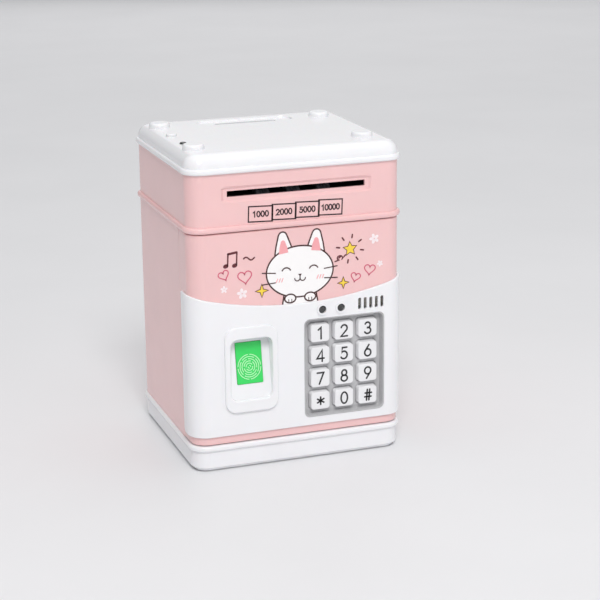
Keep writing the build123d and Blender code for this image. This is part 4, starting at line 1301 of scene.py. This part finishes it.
@dataclass
class Fasteners:
    """Cross-head screws with threads that replace the plain CAD ones."""

    pitch: float = 0.9
    root: float = 0.78
    places: tuple[tuple[str, str, str, int], ...] = (
        ("base_screws", "case", "Z", -1), ("deck_screws", "case", "Z", 1),
        ("door_screws", "door", "Y", 1), ("cover_screw", "battery_door", "Z", -1))

    def build(self) -> None:
        """Replace every node of screws, whose heads look along the axis or against it."""
        for node, body, axis, side in self.places:
            self.group(node, body, "XYZ".index(axis), side)

    def screw(self, head: float, tall: float, length: float) -> bpy.types.Object:
        """One pan-head screw along Z with its head up, a thread and a cross recess.

        Args:
            head: Head radius in millimetres.
            tall: Head height.
            length: Shank length below the head.

        Returns:
            The screw round the origin, its head's underside at z = 0.
        """
        shank, recess = head * 0.5, head * 0.56
        profile = [(0.0, -length), (shank * 0.3, -length), (shank * 0.8, 0.6 - length)]
        for turn in range(int((length - 1.6) / self.pitch)):
            low = 0.8 - length + turn * self.pitch
            profile += [(shank, low), (shank * self.root, low + self.pitch / 2)]
        profile += [(shank * 0.8, 0.0), (head, 0.0), (head, tall * 0.45), (head * 0.93, tall * 0.75)]
        profile += [(head * 0.78, tall * 0.95), (head * 0.62, tall)]
        profile += [(recess, tall), (recess * 0.8, tall * 0.35), (0.0, tall * 0.25)]
        return piece_from("screw_shape", lathe(profile, 24, 2), Finish.STEEL, 40.0)

    def group(self, node: str, body: str, way: int, side: int) -> None:
        """Replace one node of plain screws by detailed ones.

        Args:
            node: The CAD node.
            body: The body that carries it.
            way: The screws' axis, 0 to 2.
            side: 1 if the heads look up the axis, -1 if down.
        """
        spans = self.islands(frame["nodes"][node])
        low, high = spans[0]
        head = (high.x - low.x) / 2 / MM
        tall = 1.0 if head < 2.5 else 1.5
        shape = self.screw(head, tall, (high[way] - low[way]) / MM - tall)
        seats = []
        for low, high in spans:
            seat = (low + high) / 2
            seat[way] = (high if side > 0 else low)[way] - side * tall * MM
            seats.append(seat)
        turn = (math.pi if side < 0 else 0.0, 0.0, 0.0) if way == 2 else (-math.pi / 2, 0.0, 0.0)
        piece = Repeater().scatter(node + "_detailed", shape, seats, Finish.STEEL, turn)
        settle(piece, body, (node,))

    @staticmethod
    def islands(piece: bpy.types.Object) -> list[tuple[Vector, Vector]]:
        """Find every separate solid in a node.

        Args:
            piece: The node's object.

        Returns:
            The low and high corner of each.
        """
        mesh = bmesh.new()
        mesh.from_mesh(piece.data)
        bmesh.ops.remove_doubles(mesh, verts=mesh.verts[:], dist=1e-6)
        seen, spans = set(), []
        for first in mesh.verts:
            if first in seen:
                continue
            stack, found = [first], []
            seen.add(first)
            while stack:
                vert = stack.pop()
                found.append(vert.co.copy())
                for edge in vert.link_edges:
                    other = edge.other_vert(vert)
                    if other not in seen:
                        seen.add(other)
                        stack.append(other)
            spans.append((Vector(min(c[i] for c in found) for i in range(3)),
                          Vector(max(c[i] for c in found) for i in range(3))))
        mesh.free()
        return spans


@dataclass
class Studio:
    """Pale floor, soft lights and the camera."""

    azimuth: float = -19.52
    elevation: float = 16.19
    roll: float = -0.55
    distance: float = 1.0304
    aim: tuple[float, float, float] = (0.0211, 0.0, 0.0796)
    lens: float = 102.25
    lights: tuple[tuple[str, tuple[float, float, float], float, float, Colour], ...] = (
        ("key_light", (-0.42, -1.75, 1.95), 0.9, 37.0, (1.0, 0.99, 0.975, 1.0)),
        ("fill_light", (1.6, -1.2, 0.7), 1.2, 3.5, (0.98, 0.99, 1.0, 1.0)),
        ("back_light", (0.7, 2.0, 0.9), 1.6, 3.5, (1.0, 0.985, 0.98, 1.0)),
    )
    sky: tuple[float, float, float] = (0.05, 0.25, 1.6)
    sky_power: float = 0.78
    ambient: float = 0.35

    def build(self) -> None:
        """Make the floor, world, lights and camera."""
        self.floor()
        self.world()
        for name, place, size, power, colour in self.lights:
            self.light(name, Vector(place), size, power, colour)
        self.skylight()
        self.camera()
        bpy.context.scene.view_settings.view_transform = "Standard"

    def floor(self) -> None:
        """A wide pale sheet just under the rubber feet."""
        mesh = bmesh.new()
        bmesh.ops.create_grid(mesh, x_segments=8, y_segments=8, size=3.0)
        piece = piece_from("studio_floor", mesh, Finish.FLOOR)

    def world(self) -> None:
        """An even pale surround."""
        world = bpy.data.worlds.new("studio")
        world.use_nodes = True
        back = world.node_tree.nodes["Background"]
        back.inputs["Color"].default_value = (0.93, 0.94, 0.96, 1.0)
        back.inputs["Strength"].default_value = self.ambient
        bpy.context.scene.world = world

    def light(self, name: str, place: Vector, size: float, power: float, colour: Colour) -> None:
        """One large soft light aimed at the object.

        Args:
            name: Its name.
            place: Where it hangs, in metres.
            size: The length of its sides.
            power: Its power in watts.
            colour: Its colour.
        """
        lamp = bpy.data.lights.new(name, "AREA")
        lamp.shape = "SQUARE"
        lamp.size = size
        lamp.energy = power
        lamp.color = colour[:3]
        item = bpy.data.objects.new(name, lamp)
        item.location = place
        item.rotation_euler = (Vector((0, 0, 0.09)) - place).to_track_quat("-Z", "Y").to_euler()
        bpy.context.scene.collection.objects.link(item)

    def skylight(self) -> None:
        """A broad even light from above that keeps the floor the same tone far and near."""
        lamp = bpy.data.lights.new("skylight", "SUN")
        lamp.angle = math.radians(75)
        lamp.energy = self.sky_power
        item = bpy.data.objects.new("skylight", lamp)
        item.rotation_euler = Vector(self.sky).to_track_quat("Z", "Y").to_euler()
        bpy.context.scene.collection.objects.link(item)

    def camera(self) -> None:
        """The camera, a little above the lid and to the left of the front."""
        a, e, r = (math.radians(x) for x in (self.azimuth, self.elevation, self.roll))
        back = Vector((math.sin(a) * math.cos(e), -math.cos(a) * math.cos(e), math.sin(e)))
        right = (-back).cross(Vector((0, 0, 1))).normalized()
        up = right.cross(-back)
        right, up = right * math.cos(r) + up * math.sin(r), up * math.cos(r) - right * math.sin(r)
        data = bpy.data.cameras.new("camera")
        data.lens = self.lens
        data.sensor_width = 36.0
        data.clip_end = 20.0
        item = bpy.data.objects.new("camera", data)
        turn = Matrix((right, up, back)).transposed().to_4x4()
        item.matrix_world = Matrix.Translation(Vector(self.aim) + back * self.distance) @ turn
        bpy.context.scene.collection.objects.link(item)
        bpy.context.scene.camera = item


def main() -> None:
    """Build every sub-assembly in order."""
    logging.basicConfig(level=logging.INFO, format="%(name)s: %(message)s")
    for part in (Studio(), Housing(), NumberBoxes(), DoorArt(), Keypad(), FingerWindow(),
                 Gauze(), Fasteners()):
        log.info("building %s", type(part).__name__)
        part.build()


if __name__ == "__main__":
    main()
